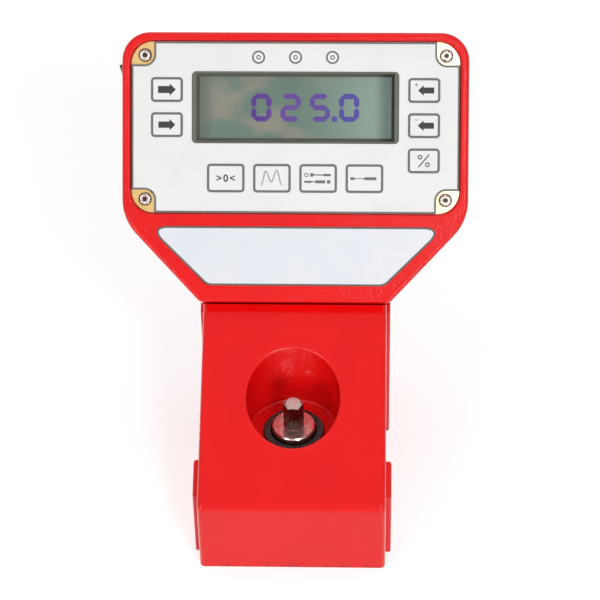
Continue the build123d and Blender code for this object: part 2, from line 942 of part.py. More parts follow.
# Cap screws that hold the spindle's flange to the ledge of the base
flange_underside = Plane(origin=(0, drive_y, flange_bottom), x_dir=(1, 0, 0), z_dir=(0, 0, -1))
with PolarLocations(flange_screw_circle, flange_screw_count) as flange_circle:
    flange_screws_at = [place.position for place in flange_circle.local_locations]
with BuildPart() as flange_screws:
    add(socket_screws(flange_underside, flange_screws_at, flange_screw))
flange_screws.part.label = "flange_screws"
export_step(flange_screws.part, "parts/flange_screws.step")

# Outer ring of the bearing that guides the top of the spindle
with BuildPart() as bearing_outer_ring:
    with BuildSketch(drive_section):
        with Locations(((bearing_outer_bore + bearing_radius) / 2, bearing_middle)):
            Rectangle(
                bearing_radius - bearing_outer_bore - fit_clearance,
                bearing_width - fit_clearance,
            )
        with Locations((race_middle, bearing_middle)):
            Circle(ball_radius + race_clearance, mode=Mode.SUBTRACT)
    revolve(axis=drive_axis)
bearing_outer_ring.part.label = "bearing_outer_ring"
export_step(bearing_outer_ring.part, "parts/bearing_outer_ring.step")

# Inner ring of the bearing, on the spindle's journal
with BuildPart() as bearing_inner_ring:
    with BuildSketch(drive_section):
        with Locations(((journal_radius + bearing_inner_radius) / 2, bearing_middle)):
            Rectangle(
                bearing_inner_radius - journal_radius - fit_clearance,
                bearing_width - fit_clearance,
            )
        with Locations((race_middle, bearing_middle)):
            Circle(ball_radius + race_clearance, mode=Mode.SUBTRACT)
    revolve(axis=drive_axis)
bearing_inner_ring.part.label = "bearing_inner_ring"
export_step(bearing_inner_ring.part, "parts/bearing_inner_ring.step")

# Balls between the two rings
with BuildPart() as bearing_balls:
    with Locations((0, drive_y, bearing_middle)):
        with PolarLocations(race_middle, ball_count):
            Sphere(ball_radius)
bearing_balls.part.label = "bearing_balls"
export_step(bearing_balls.part, "parts/bearing_balls.step")

# Serrated ring on the well's floor, whose threaded skirt presses on the bearing
with BuildPart() as lock_ring:
    with BuildSketch(drive_section):
        ring_top = well_floor_height + ring_height
        with BuildLine():
            Polyline(
                (ring_skirt_bore, bearing_top),
                (bearing_radius - fit_clearance, bearing_top),
                (bearing_radius - fit_clearance, well_floor_height),
                (ring_radius, well_floor_height),
                (ring_radius, ring_top - ring_chamfer),
                (ring_radius - ring_chamfer, ring_top),
                (ring_bore + ring_chamfer, ring_top),
                (ring_bore, ring_top - ring_chamfer),
                (ring_bore, well_floor_height),
                (ring_skirt_bore, well_floor_height),
                close=True,
            )
        make_face()
    revolve(axis=drive_axis)
    with BuildSketch(Plane.XY.offset(well_floor_height)):
        with Locations((0, drive_y)):
            with PolarLocations(ring_radius, ring_teeth):
                Rectangle(sqrt(2) * ring_tooth_depth, sqrt(2) * ring_tooth_depth, rotation=45)
    extrude(amount=ring_height, mode=Mode.SUBTRACT)
lock_ring.part.label = "lock_ring"
export_step(lock_ring.part, "parts/lock_ring.step")

# Strain gauges on the four flats of the torque section
with BuildPart() as strain_gauges:
    with Locations((0, drive_y, (torque_section_bottom + torque_section_top) / 2)):
        with PolarLocations((gauge_flat + gauge_thickness) / 2, 4):
            Box(gauge_thickness, gauge_width, gauge_length)
strain_gauges.part.label = "strain_gauges"
export_step(strain_gauges.part, "parts/strain_gauges.step")

# Front casing of the head: panel recess with its ledge, label recess, walls and bosses
with BuildPart() as head_housing:
    with BuildSketch(head_face):
        add(head_outline())
    extrude(amount=-shell_depth)
    fillet(edges_at_depth(head_housing, 0), face_edge_radius)
    with BuildSketch(at_depth(ledge_back)):
        add(head_outline(head_wall))
    extrude(amount=-shell_depth, mode=Mode.SUBTRACT)
    with BuildSketch(at_depth(front_wall)):
        add(head_outline(head_wall))
        with Locations((0, panel_bottom - head_wall)):
            Rectangle(beyond, beyond, align=(Align.CENTER, Align.MIN), mode=Mode.SUBTRACT)
    extrude(amount=front_wall - ledge_back, mode=Mode.SUBTRACT)
    with BuildSketch(at_depth(panel_recess)):
        with Locations(*panel_screws_at):
            Circle(panel_boss_radius)
    extrude(amount=-panel_boss_length)
    with BuildSketch(at_depth(shell_depth)):
        with Locations(*cover_screws_at):
            Circle(boss_radius)
    extrude(amount=shell_depth - ledge_back)
    with BuildSketch(at_depth(ledge_back)):
        with Locations(*[place for place in cover_screws_at if place[1] < panel_bottom]):
            Circle(boss_radius)
    extrude(amount=ledge_back - front_wall)
    with BuildSketch(head_face):
        with Locations((0, panel_middle)):
            RectangleRounded(panel_width, panel_height, panel_corner_radius)
    extrude(amount=-panel_recess, mode=Mode.SUBTRACT)
    recess_rim = edges_at_depth(head_housing, 0).filter_by(
        lambda e: abs(e.center().X) < panel_width / 2 + touch
        and panel_bottom - touch < head_face.to_local_coords(e.center()).Y < panel_top + touch
    )
    fillet(recess_rim, recess_edge_radius)
    with BuildSketch(at_depth(panel_recess)):
        with Locations((0, panel_middle)):
            Rectangle(panel_width - 2 * ledge_width, panel_height - 2 * ledge_width)
        with Locations(*panel_screws_at):
            Circle(panel_boss_relief, mode=Mode.SUBTRACT)
    extrude(amount=-ledge_wall, mode=Mode.SUBTRACT)
    with BuildSketch(head_face):
        add(label_outline(-label_gap))
    extrude(amount=-label_recess, mode=Mode.SUBTRACT)
    label_rim = edges_at_depth(head_housing, 0).filter_by(
        lambda e: abs(e.center().X) < label_top_half
        and abs(2 * head_face.to_local_coords(e.center()).Y - label_top - label_bottom)
        < label_top - label_bottom + 2 * (label_gap + touch)
    )
    fillet(label_rim, label_edge_radius)
    with BuildSketch(at_depth(panel_recess)):
        with Locations(*panel_screws_at):
            Circle(panel_screw.shank + thread_clearance)
    extrude(amount=-panel_boss_length, mode=Mode.SUBTRACT)
    with BuildSketch(at_depth(shell_depth)):
        with Locations(*cover_screws_at):
            Circle(cover_screw.shank + thread_clearance)
    extrude(amount=shell_depth - cover_screw_tip + overcut, mode=Mode.SUBTRACT)
    with BuildSketch(switch_face):
        Rectangle(switch_body_length + 2 * hole_clearance, switch_body_width + 2 * hole_clearance)
    extrude(amount=-(head_wall + overcut), mode=Mode.SUBTRACT)
head_housing.part.label = "head_housing"
export_step(head_housing.part, "parts/head_housing.step")

# Seal between the two halves of the head
with BuildPart() as head_gasket:
    with BuildSketch(at_depth(cover_front)):
        add(head_outline(gasket_inset))
        add(head_outline(head_wall), mode=Mode.SUBTRACT)
        with Locations(*cover_screws_at):
            Circle(boss_radius + hole_clearance, mode=Mode.SUBTRACT)
    extrude(amount=gasket_thickness)
head_gasket.part.label = "head_gasket"
export_step(head_gasket.part, "parts/head_gasket.step")

# Rear cover of the head: rounded tray with screw bosses and the holes of its sockets
with BuildPart() as head_rear_cover:
    with BuildSketch(at_depth(cover_front)):
        add(head_outline())
    extrude(amount=-cover_depth)
    fillet(edges_at_depth(head_rear_cover, head_depth), cover_edge_radius)
    with BuildSketch(at_depth(cover_front)):
        add(head_outline(head_wall))
    extrude(amount=cover_floor - cover_depth, mode=Mode.SUBTRACT)
    with BuildSketch(at_depth(shell_depth)):
        with Locations(*cover_screws_at):
            Circle(boss_radius)
    extrude(amount=-(cover_inside - shell_depth))
    with Locations(from_behind(head_depth)):
        with Locations(*cover_screws_at):
            CounterBoreHole(
                cover_screw.shank + hole_clearance,
                cover_screw.head + hole_clearance,
                cover_screw.height,
                depth=head_depth - shell_depth,
            )
    with BuildSketch(at_depth(head_depth)):
        with Locations(*head_bolts_at):
            Circle(head_bolt.shank + hole_clearance)
        with Locations((0, lead_hole_v)):
            Circle(grommet_groove_radius + grommet_clearance)
        with Locations((dc_socket_u, socket_v)):
            Circle(dc_socket_radius + hole_clearance)
        with Locations((serial_u, socket_v)):
            Rectangle(
                serial_body_width + 2 * hole_clearance,
                serial_body_height + 2 * hole_clearance,
            )
        with Locations((serial_u, socket_v)):
            with GridLocations(serial_post_pitch, 0, 2, 1):
                Circle(serial_post_radius + thread_clearance)
    extrude(amount=cover_floor, mode=Mode.SUBTRACT)
head_rear_cover.part.label = "head_rear_cover"
export_step(head_rear_cover.part, "parts/head_rear_cover.step")

# Screws of the rear cover
with BuildPart() as rear_cover_screws:
    add(socket_screws(from_behind(cover_screw_seat), cover_screws_at, cover_screw))
rear_cover_screws.part.label = "rear_cover_screws"
export_step(rear_cover_screws.part, "parts/rear_cover_screws.step")

# Bolts from inside the head into the seat of the base
with BuildPart() as head_bolts:
    add(socket_screws(at_depth(cover_inside), head_bolts_at, head_bolt))
head_bolts.part.label = "head_bolts"
export_step(head_bolts.part, "parts/head_bolts.step")

# Rubber grommet where the lead passes from the base into the head
lead_section = Plane(
    origin=in_head(0, lead_hole_v, 0), x_dir=(1, 0, 0), z_dir=head_face.y_dir
)
with BuildPart() as cable_grommet:
    with BuildSketch(lead_section):
        with BuildLine():
            Polyline(
                (lead_radius + grommet_clearance, cover_inside - grommet_flange_thickness),
                (grommet_flange_radius - grommet_flange_taper, cover_inside - grommet_flange_thickness),
                (grommet_flange_radius, cover_inside),
                (grommet_groove_radius, cover_inside),
                (grommet_groove_radius, head_depth),
                (grommet_flange_radius, head_depth),
                (grommet_flange_radius - grommet_flange_taper, head_depth + grommet_flange_thickness),
                (lead_radius + grommet_clearance, head_depth + grommet_flange_thickness),
                close=True,
            )
        make_face()
    revolve(axis=Axis(lead_section.origin, lead_section.y_dir))
cable_grommet.part.label = "cable_grommet"
export_step(cable_grommet.part, "parts/cable_grommet.step")

# Screened lead from the strain gauges, through the port and the seat to the main board
with BuildPart() as transducer_lead:
    with BuildLine() as lead_path:
        FilletPolyline(
            (0, drive_y + gauge_flat / 2 + gauge_thickness, lead_port_height),
            (0, drive_y + well_tube_radius + 15, lead_port_height),
            (0, rear_y - 24, 62),
            in_head(0, lead_hole_v, head_depth + 9),
            in_head(0, lead_hole_v, lead_inner_depth),
            in_head(0, lead_plug_v, lead_inner_depth),
            radius=[
                2 * lead_bend_radius,
                2 * lead_bend_radius,
                lead_bend_radius,
                lead_inner_bend_radius,
            ],
        )
    with BuildSketch(Plane(origin=lead_path.line @ 0, z_dir=lead_path.line % 0)):
        Circle(lead_radius)
    sweep()
transducer_lead.part.label = "transducer_lead"
export_step(transducer_lead.part, "parts/transducer_lead.step")

# Chromated plate that carries the keypad, the display and the boards
with BuildPart() as panel_plate:
    with BuildSketch(at_depth(spacer_back)):
        with Locations((0, panel_middle)):
            RectangleRounded(
                panel_width - 2 * panel_clearance,
                panel_height - 2 * panel_clearance,
                panel_corner_radius - panel_clearance,
            )
        with Locations((0, frame_middle)):
            Rectangle(
                frame_width + 2 * (window_gap + bezel_gap),
                frame_height + 2 * (window_gap + bezel_gap),
                mode=Mode.SUBTRACT,
            )
        with Locations(*leds_at):
            Circle(led_radius + hole_clearance, mode=Mode.SUBTRACT)
        with Locations(*panel_screws_at):
            Circle(panel_screw.shank + hole_clearance, mode=Mode.SUBTRACT)
    extrude(amount=spacer_back - panel_recess)
panel_plate.part.label = "panel_plate"
export_step(panel_plate.part, "parts/panel_plate.step")

# Button-head screws in the corners of the panel
with BuildPart() as panel_screws:
    add(socket_screws(at_depth(spacer_back), panel_screws_at, panel_screw, finish_edge=fillet))
panel_screws.part.label = "panel_screws"
export_step(panel_screws.part, "parts/panel_screws.step")

# Spacer under the keypad sheet, in which the keys have their room to move
with BuildPart() as spacer_layer:
    with BuildSketch(at_depth(spacer_back)):
        add(layer_outline())
        add(key_windows(), mode=Mode.SUBTRACT)
        add(display_outline(window_gap), mode=Mode.SUBTRACT)
        with Locations(*leds_at):
            Circle(led_window_radius - led_window_lip, mode=Mode.SUBTRACT)
    extrude(amount=spacer_thickness)
spacer_layer.part.label = "spacer_layer"
export_step(spacer_layer.part, "parts/spacer_layer.step")

# Pale keypad sheet with its windows for the keys, the display and the indicators
with BuildPart() as membrane_overlay:
    with BuildSketch(at_depth(overlay_back)):
        add(layer_outline())
        add(key_windows(), mode=Mode.SUBTRACT)
        add(display_outline(window_gap), mode=Mode.SUBTRACT)
        with Locations(*leds_at):
            Circle(led_window_radius + window_gap, mode=Mode.SUBTRACT)
    extrude(amount=overlay_thickness)
membrane_overlay.part.label = "membrane_overlay"
export_step(membrane_overlay.part, "parts/membrane_overlay.step")

# Clear window of the keypad sheet over the display
with BuildPart() as display_window:
    with BuildSketch(at_depth(overlay_back)):
        add(display_outline())
    extrude(amount=overlay_thickness)
display_window.part.label = "display_window"
export_step(display_window.part, "parts/display_window.step")

# Three round windows over the indicator lamps
with BuildPart() as led_windows:
    with BuildSketch(at_depth(overlay_back)):
        with Locations(*leds_at):
            Circle(led_window_radius)
    extrude(amount=overlay_thickness)
led_windows.part.label = "led_windows"
export_step(led_windows.part, "parts/led_windows.step")

# Keys: thin caps with softened edges, each in its window of the sheet
for key_name, (key_u, key_v) in {**side_keys, **row_keys}.items():
    key_width, key_height = (
        (side_key_width, side_key_height) if key_name in side_keys else (row_key_width, row_key_height)
    )
    with BuildPart() as key_cap:
        with BuildSketch(at_depth(key_depth + key_thickness)):
            with Locations((key_u, key_v)):
                RectangleRounded(key_width, key_height, key_corner_radius)
        extrude(amount=key_thickness)
        chamfer(edges_at_depth(key_cap, key_depth), key_edge_bevel)
    key_cap.part.label = key_name
    export_step(key_cap.part, f"parts/{key_name}.step")

# Snap domes under the keys
with BuildPart() as key_domes:
    with BuildSketch(at_depth(spacer_back)):
        with Locations(*side_keys.values(), *row_keys.values()):
            Circle(dome_radius)
    extrude(amount=dome_height, taper=dome_taper)
key_domes.part.label = "key_domes"
export_step(key_domes.part, "parts/key_domes.step")

# Frame that holds the display glass on its board
with BuildPart() as lcd_bezel:
    with BuildSketch(at_depth(display_board_front)):
        add(display_outline())
    extrude(amount=display_board_front - bezel_depth)
    with BuildSketch(at_depth(display_board_front)):
        with Locations((0, frame_middle)):
            Rectangle(glass_width + 2 * glass_gap, glass_height + 2 * glass_gap)
    extrude(amount=display_board_front - bezel_depth - bezel_face, mode=Mode.SUBTRACT)
    with BuildSketch(at_depth(bezel_depth)):
        with Locations((0, frame_middle)):
            Rectangle(view_width, view_height)
    extrude(amount=-bezel_face, mode=Mode.SUBTRACT)
    chamfer(
        edges_at_depth(lcd_bezel, bezel_depth).filter_by(
            lambda e: abs(e.center().X) < view_width / 2 + touch
            and abs(head_face.to_local_coords(e.center()).Y - frame_middle) < view_height / 2 + touch
        ),
        bezel_bevel,
    )
lcd_bezel.part.label = "lcd_bezel"
export_step(lcd_bezel.part, "parts/lcd_bezel.step")

# Liquid crystal panel
with BuildPart() as lcd_glass:
    with BuildSketch(at_depth(bezel_depth + bezel_face + glass_thickness)):
        with Locations((0, frame_middle)):
            Rectangle(glass_width, glass_height)
    extrude(amount=glass_thickness)
lcd_glass.part.label = "lcd_glass"
export_step(lcd_glass.part, "parts/lcd_glass.step")

# Light guide between the panel and its board
with BuildPart() as lcd_backlight:
    with BuildSketch(at_depth(display_board_front)):
        with Locations((0, frame_middle)):
            Rectangle(glass_width, glass_height)
    extrude(amount=display_board_front - bezel_depth - bezel_face - glass_thickness)
lcd_backlight.part.label = "lcd_backlight"
export_step(lcd_backlight.part, "parts/lcd_backlight.step")

# Circuit board of the display and the indicators
with BuildPart() as lcd_board:
    with BuildSketch(at_depth(display_board_back)):
        with Locations((0, (display_board_bottom + display_board_top) / 2)):
            RectangleRounded(
                display_board_width,
                display_board_top - display_board_bottom,
                board_corner_radius,
            )
        with Locations(*display_spacers_at):
            Circle(display_screw.shank + hole_clearance, mode=Mode.SUBTRACT)
    extrude(amount=board_thickness)
lcd_board.part.label = "lcd_board"
export_step(lcd_board.part, "parts/lcd_board.step")

# Threaded spacers between the plate and the display's board
with BuildPart() as lcd_spacers:
    with BuildSketch(at_depth(display_board_front)):
        with Locations(*display_spacers_at):
            Circle(display_spacer_radius)
            Circle(display_screw.shank + thread_clearance, mode=Mode.SUBTRACT)
    extrude(amount=display_board_front - panel_recess)
lcd_spacers.part.label = "lcd_spacers"
export_step(lcd_spacers.part, "parts/lcd_spacers.step")

# Screws of the display's board
with BuildPart() as lcd_screws:
    add(socket_screws(from_behind(display_board_back), display_spacers_at, display_screw))
lcd_screws.part.label = "lcd_screws"
export_step(lcd_screws.part, "parts/lcd_screws.step")

# Indicator lamps: domed bodies on collars
with BuildPart() as leds:
    with BuildSketch(at_depth(display_board_front)):
        with Locations(*leds_at):
            Circle(led_radius)
    extrude(amount=display_board_front - led_tip_depth)
    fillet(edges_at_depth(leds, led_tip_depth), led_radius * led_dome_share)
    with BuildSketch(at_depth(display_board_front)):
        with Locations(*leds_at):
            Circle(led_collar_radius)
    extrude(amount=led_collar_height)
leds.part.label = "leds"
export_step(leds.part, "parts/leds.step")

# Main circuit board
with BuildPart() as main_board:
    with BuildSketch(at_depth(main_board_back)):
        with Locations((0, panel_middle)):
            RectangleRounded(main_board_width, main_board_height, board_corner_radius)
        with Locations(*standoffs_at):
            Circle(board_screw.shank + hole_clearance, mode=Mode.SUBTRACT)
    extrude(amount=board_thickness)
main_board.part.label = "main_board"
export_step(main_board.part, "parts/main_board.step")

# Hexagon standoffs that carry the main board on the plate
with BuildPart() as board_standoffs:
    with BuildSketch(at_depth(main_board_depth)):
        with Locations(*standoffs_at):
            RegularPolygon(standoff_across_flats / 2, 6, major_radius=False)
    extrude(amount=main_board_depth - panel_recess)
    with BuildSketch(at_depth(main_board_depth)):
        with Locations(*standoffs_at):
            Circle(board_screw.shank + thread_clearance)
    extrude(amount=standoff_bore_depth, mode=Mode.SUBTRACT)
board_standoffs.part.label = "board_standoffs"
export_step(board_standoffs.part, "parts/board_standoffs.step")

# Screws of the main board
with BuildPart() as board_screws:
    add(socket_screws(from_behind(main_board_back), standoffs_at, board_screw))
board_screws.part.label = "board_screws"
export_step(board_screws.part, "parts/board_screws.step")

# Parts soldered to the back of the main board: chips, capacitors and the lead's connector
with BuildPart() as board_parts:
    with BuildSketch(at_depth(main_board_back)):
        for (chip_u, chip_v), chip_width, chip_height in chips:
            with Locations((chip_u, panel_middle + chip_v)):
                Rectangle(chip_width, chip_height)
    extrude(amount=-chip_thickness)
    chamfer(edges_at_depth(board_parts, main_board_back + chip_thickness), chip_bevel)
    with BuildSketch(at_depth(main_board_back)):
        with Locations(*[(u, panel_middle + v) for u, v in capacitors]):
            Circle(capacitor_radius)
    extrude(amount=-capacitor_height)
    chamfer(edges_at_depth(board_parts, main_board_back + capacitor_height), capacitor_edge)
    with BuildSketch(at_depth(main_board_back)):
        with Locations((0, lead_plug_v)):
            Rectangle(lead_plug_width, lead_plug_length, align=(Align.CENTER, Align.MIN))
    extrude(amount=-lead_plug_height)
board_parts.part.label = "board_parts"
export_step(board_parts.part, "parts/board_parts.step")

# Bare trapezoid plate below the panel
with BuildPart() as label_plate:
    with BuildSketch(at_depth(label_recess)):
        add(label_outline())
    extrude(amount=label_thickness)
    chamfer(edges_at_depth(label_plate, label_recess - label_thickness), label_plate_bevel)
label_plate.part.label = "label_plate"
export_step(label_plate.part, "parts/label_plate.step")

# Housing of the power switch: flange outside the wall, open pocket with bearing holes
switch_flange = switch_face.offset(switch_flange_thickness)
with BuildPart() as switch_body:
    with BuildSketch(switch_face):
        RectangleRounded(switch_flange_length, switch_flange_width, switch_corner_radius)
    extrude(amount=switch_flange_thickness)
    chamfer(
        switch_body.edges().filter_by(
            lambda e: abs(switch_face.to_local_coords(e.center()).Z - switch_flange_thickness) < touch
        ),
        switch_flange_bevel,
    )
    with BuildSketch(switch_face):
        Rectangle(switch_body_length, switch_body_width)
    extrude(amount=-switch_body_depth)
    with BuildSketch(switch_flange):
        Rectangle(2 * (rocker_radius + rocker_gap), rocker_width + 2 * rocker_gap)
    extrude(amount=-switch_pocket_depth, mode=Mode.SUBTRACT)
    with BuildSketch(rocker_section(0)):
        Circle(trunnion_radius + trunnion_clearance)
    extrude(
        amount=rocker_width / 2 + rocker_gap + trunnion_reach + trunnion_clearance,
        both=True,
        mode=Mode.SUBTRACT,
    )
switch_body.part.label = "switch_body"
export_step(switch_body.part, "parts/switch_body.step")

# Rocker with its two trunnions, tipped so that its upper end stands out
with BuildPart() as power_rocker:
    with BuildSketch(rocker_section(rocker_tilt)):
        Circle(rocker_radius)
        with BuildLine():
            crest = rocker_pivot_drop / cos(radians(rocker_tilt))
            rise = rocker_radius * tan(radians(rocker_tilt))
            Polyline(
                (0, crest),
                (rocker_radius, crest + rise),
                (rocker_radius, 2 * rocker_radius),
                (-rocker_radius, 2 * rocker_radius),
                (-rocker_radius, crest + rise),
                close=True,
            )
        make_face(mode=Mode.SUBTRACT)
        with Locations((0, -rocker_belly)):
            Rectangle(
                2 * rocker_radius,
                2 * rocker_radius,
                align=(Align.CENTER, Align.MAX),
                mode=Mode.SUBTRACT,
            )
    extrude(amount=rocker_width / 2, both=True)
    with BuildSketch(rocker_section(rocker_tilt)):
        Circle(trunnion_radius)
    extrude(amount=rocker_width / 2 + rocker_gap + trunnion_reach, both=True)
power_rocker.part.label = "power_rocker"
export_step(power_rocker.part, "parts/power_rocker.step")

# Solder tags of the switch
with BuildPart() as switch_tags:
    with BuildSketch(switch_face.offset(-switch_body_depth)):
        with GridLocations(tag_pitch, 0, 2, 1):
            Rectangle(tag_thickness, tag_width)
    extrude(amount=-tag_length)
switch_tags.part.label = "switch_tags"
export_step(switch_tags.part, "parts/switch_tags.step")

# Supply socket: flanged barrel with a centre pin in its bore
dc_section = Plane(
    origin=in_head(dc_socket_u, socket_v, 0), x_dir=(1, 0, 0), z_dir=head_face.y_dir
)
with BuildPart() as dc_socket:
    with BuildSketch(dc_section):
        with BuildLine():
            dc_back = head_depth + dc_flange_thickness
            Polyline(
                (0, dc_back - dc_socket_length - dc_flange_thickness),
                (dc_socket_radius, dc_back - dc_socket_length - dc_flange_thickness),
                (dc_socket_radius, head_depth),
                (dc_flange_radius, head_depth),
                (dc_flange_radius, dc_back - dc_flange_bevel),
                (dc_flange_radius - dc_flange_bevel, dc_back),
                (dc_bore_radius, dc_back),
                (dc_bore_radius, dc_back - dc_bore_depth),
                (dc_pin_radius, dc_back - dc_bore_depth),
                (dc_pin_radius, dc_back - dc_flange_thickness),
                (0, dc_back - dc_flange_thickness),
                close=True,
            )
        make_face()
    revolve(axis=Axis(dc_section.origin, dc_section.y_dir))
dc_socket.part.label = "dc_socket"
export_step(dc_socket.part, "parts/dc_socket.step")

# Nut of the supply socket, inside the cover
with BuildPart() as dc_socket_nut:
    with BuildSketch(at_depth(cover_inside)):
        with Locations((dc_socket_u, socket_v)):
            RegularPolygon(dc_nut_across_flats / 2, 6, major_radius=False)
            Circle(dc_socket_radius + thread_clearance, mode=Mode.SUBTRACT)
    extrude(amount=dc_nut_thickness)
dc_socket_nut.part.label = "dc_socket_nut"
export_step(dc_socket_nut.part, "parts/dc_socket_nut.step")

# Nine-way data connector: flange, tapered shell and block with its contacts' holes
with BuildPart() as serial_connector:
    serial_back = head_depth + serial_flange_thickness + serial_shell_length
    with BuildSketch(at_depth(head_depth)):
        with Locations((serial_u, socket_v)):
            RectangleRounded(serial_flange_width, serial_flange_height, serial_corner_radius)
            with GridLocations(serial_post_pitch, 0, 2, 1):
                Circle(serial_post_radius + hole_clearance, mode=Mode.SUBTRACT)
    extrude(amount=-serial_flange_thickness)
    with BuildSketch(at_depth(head_depth)):
        add(serial_outline())
    extrude(amount=head_depth - serial_back)
    with BuildSketch(at_depth(head_depth)):
        with Locations((serial_u, socket_v)):
            Rectangle(serial_body_width, serial_body_height)
    extrude(amount=serial_body_length)
    with BuildSketch(at_depth(serial_back)):
        with Locations((serial_u, socket_v)):
            with Locations((0, serial_row_pitch / 2)):
                with GridLocations(serial_contact_pitch, 0, serial_long_row, 1):
                    Circle(serial_contact_radius)
            with Locations((0, -serial_row_pitch / 2)):
                with GridLocations(serial_contact_pitch, 0, serial_short_row, 1):
                    Circle(serial_contact_radius)
    extrude(amount=serial_shell_length, mode=Mode.SUBTRACT)
serial_connector.part.label = "serial_connector"
export_step(serial_connector.part, "parts/serial_connector.step")

# Threaded posts beside the data connector
with BuildPart() as serial_posts:
    post_foot = at_depth(head_depth + serial_flange_thickness)
    with BuildSketch(post_foot):
        with Locations((serial_u, socket_v)):
            with GridLocations(serial_post_pitch, 0, 2, 1):
                RegularPolygon(serial_post_across_flats / 2, 6, major_radius=False)
                Circle(serial_post_bore, mode=Mode.SUBTRACT)
    extrude(amount=-serial_post_height)
    with BuildSketch(post_foot):
        with Locations((serial_u, socket_v)):
            with GridLocations(serial_post_pitch, 0, 2, 1):
                Circle(serial_post_radius)
    extrude(amount=serial_flange_thickness + cover_floor)
serial_posts.part.label = "serial_posts"
export_step(serial_posts.part, "parts/serial_posts.step")
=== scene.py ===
"""Looks of the digital torque tester: finishes, printed legends, small fittings, studio and camera."""

import json
import logging
import math
from dataclasses import dataclass, field
from enum import Enum
from typing import Callable, Mapping, Sequence, Union

import bpy
from mathutils import Matrix, Vector


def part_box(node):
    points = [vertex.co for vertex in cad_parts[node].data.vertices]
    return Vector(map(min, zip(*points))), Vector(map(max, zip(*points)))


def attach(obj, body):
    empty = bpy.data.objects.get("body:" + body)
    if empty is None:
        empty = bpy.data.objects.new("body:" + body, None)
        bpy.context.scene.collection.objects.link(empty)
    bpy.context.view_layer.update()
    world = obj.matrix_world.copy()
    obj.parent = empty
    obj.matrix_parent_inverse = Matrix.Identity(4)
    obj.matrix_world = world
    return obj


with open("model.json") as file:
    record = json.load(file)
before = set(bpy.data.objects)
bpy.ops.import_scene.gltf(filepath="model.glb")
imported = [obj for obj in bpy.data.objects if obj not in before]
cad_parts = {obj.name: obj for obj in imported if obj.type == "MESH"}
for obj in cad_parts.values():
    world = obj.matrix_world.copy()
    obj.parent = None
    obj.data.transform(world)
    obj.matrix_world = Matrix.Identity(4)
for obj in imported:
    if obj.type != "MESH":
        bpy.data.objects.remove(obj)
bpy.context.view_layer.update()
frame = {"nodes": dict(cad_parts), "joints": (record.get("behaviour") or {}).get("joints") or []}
log = logging.getLogger("torque_tester")

MM = 0.001
INK = 0.03 * MM
NEAR = 0.01 * MM
WELD = 0.002 * MM
INSTRUMENT = "instrument"
ROCKER = "power_rocker"

Colour = tuple[float, float, float]
Wired = Union["Value", "Tint", float, Colour, bpy.types.NodeSocket]


def linear(red: int, green: int, blue: int) -> Colour:
    """Turn a screen colour into scene-linear numbers.

    Args:
        red: Red from 0 to 255.
        green: Green from 0 to 255.
        blue: Blue from 0 to 255.

    Returns:
        The three linear channels.
    """
    def channel(level: int) -> float:
        """Undo the screen's curve for one channel."""
        share = level / 255
        return share / 12.92 if share <= 0.04045 else ((share + 0.055) / 1.055) ** 2.4

    return channel(red), channel(green), channel(blue)


def toward(azimuth: float, elevation: float) -> Vector:
    """Give a direction away from the object.

    Args:
        azimuth: Degrees from the front, round to the right.
        elevation: Degrees above the bench.

    Returns:
        The unit vector.
    """
    around, above = math.radians(azimuth), math.radians(elevation)
    return Vector((math.sin(around) * math.cos(above), -math.cos(around) * math.cos(above), math.sin(above)))


class Value:
    """A number in a material, on which plain arithmetic adds Math nodes."""

    def __init__(self, shader: "Shader", socket: bpy.types.NodeSocket) -> None:
        """Wrap one output socket of a shader's tree."""
        self.shader = shader
        self.socket = socket

    def _math(self, operation: str, first: Wired, second: Wired) -> "Value":
        """Add a Math node.

        Args:
            operation: The node's operation.
            first: Its first number.
            second: Its second number.

        Returns:
            The result.
        """
        return self.shader.node("ShaderNodeMath", {"operation": operation}, {0: first, 1: second}).value()

    def __add__(self, other: Wired) -> "Value":
        """Add."""
        return self._math("ADD", self, other)

    def __radd__(self, other: Wired) -> "Value":
        """Add, with the number on the left."""
        return self._math("ADD", other, self)

    def __sub__(self, other: Wired) -> "Value":
        """Subtract."""
        return self._math("SUBTRACT", self, other)

    def __rsub__(self, other: Wired) -> "Value":
        """Subtract this from the number on the left."""
        return self._math("SUBTRACT", other, self)

    def __mul__(self, other: Wired) -> "Value":
        """Multiply."""
        return self._math("MULTIPLY", self, other)

    def __rmul__(self, other: Wired) -> "Value":
        """Multiply, with the number on the left."""
        return self._math("MULTIPLY", other, self)

    def __truediv__(self, other: Wired) -> "Value":
        """Divide."""
        return self._math("DIVIDE", self, other)

    def __pow__(self, other: Wired) -> "Value":
        """Raise to a power."""
        return self._math("POWER", self, other)

    def __gt__(self, other: Wired) -> "Value":
        """Give 1 where this is greater."""
        return self._math("GREATER_THAN", self, other)

    def __lt__(self, other: Wired) -> "Value":
        """Give 1 where this is less."""
        return self._math("LESS_THAN", self, other)

    def __abs__(self) -> "Value":
        """Drop the sign."""
        return self._math("ABSOLUTE", self, 0.0)

    def ramp(self, low: float, high: float, start: float = 0.0, end: float = 1.0) -> "Value":
        """Stretch a range of this number smoothly onto another.

        Args:
            low: The number that becomes start.
            high: The number that becomes end.
            start: The result at and below low.
            end: The result at and above high.

        Returns:
            The stretched number.
        """
        limits = {"From Min": low, "From Max": high, "To Min": start, "To Max": end}
        settings = {"interpolation_type": "SMOOTHSTEP"}
        return self.shader.node("ShaderNodeMapRange", settings, {"Value": self, **limits}).value()


class Tint:
    """A colour or vector socket in a material."""

    def __init__(self, shader: "Shader", socket: bpy.types.NodeSocket) -> None:
        """Wrap one output socket of a shader's tree."""
        self.shader = shader
        self.socket = socket

    def mix(self, other: Wired, share: Wired) -> "Tint":
        """Blend towards another colour.

        Args:
            other: The colour at a share of 1.
            share: How much of it there is.

        Returns:
            The blended colour.
        """
        return self.shader.mix(self, other, share)


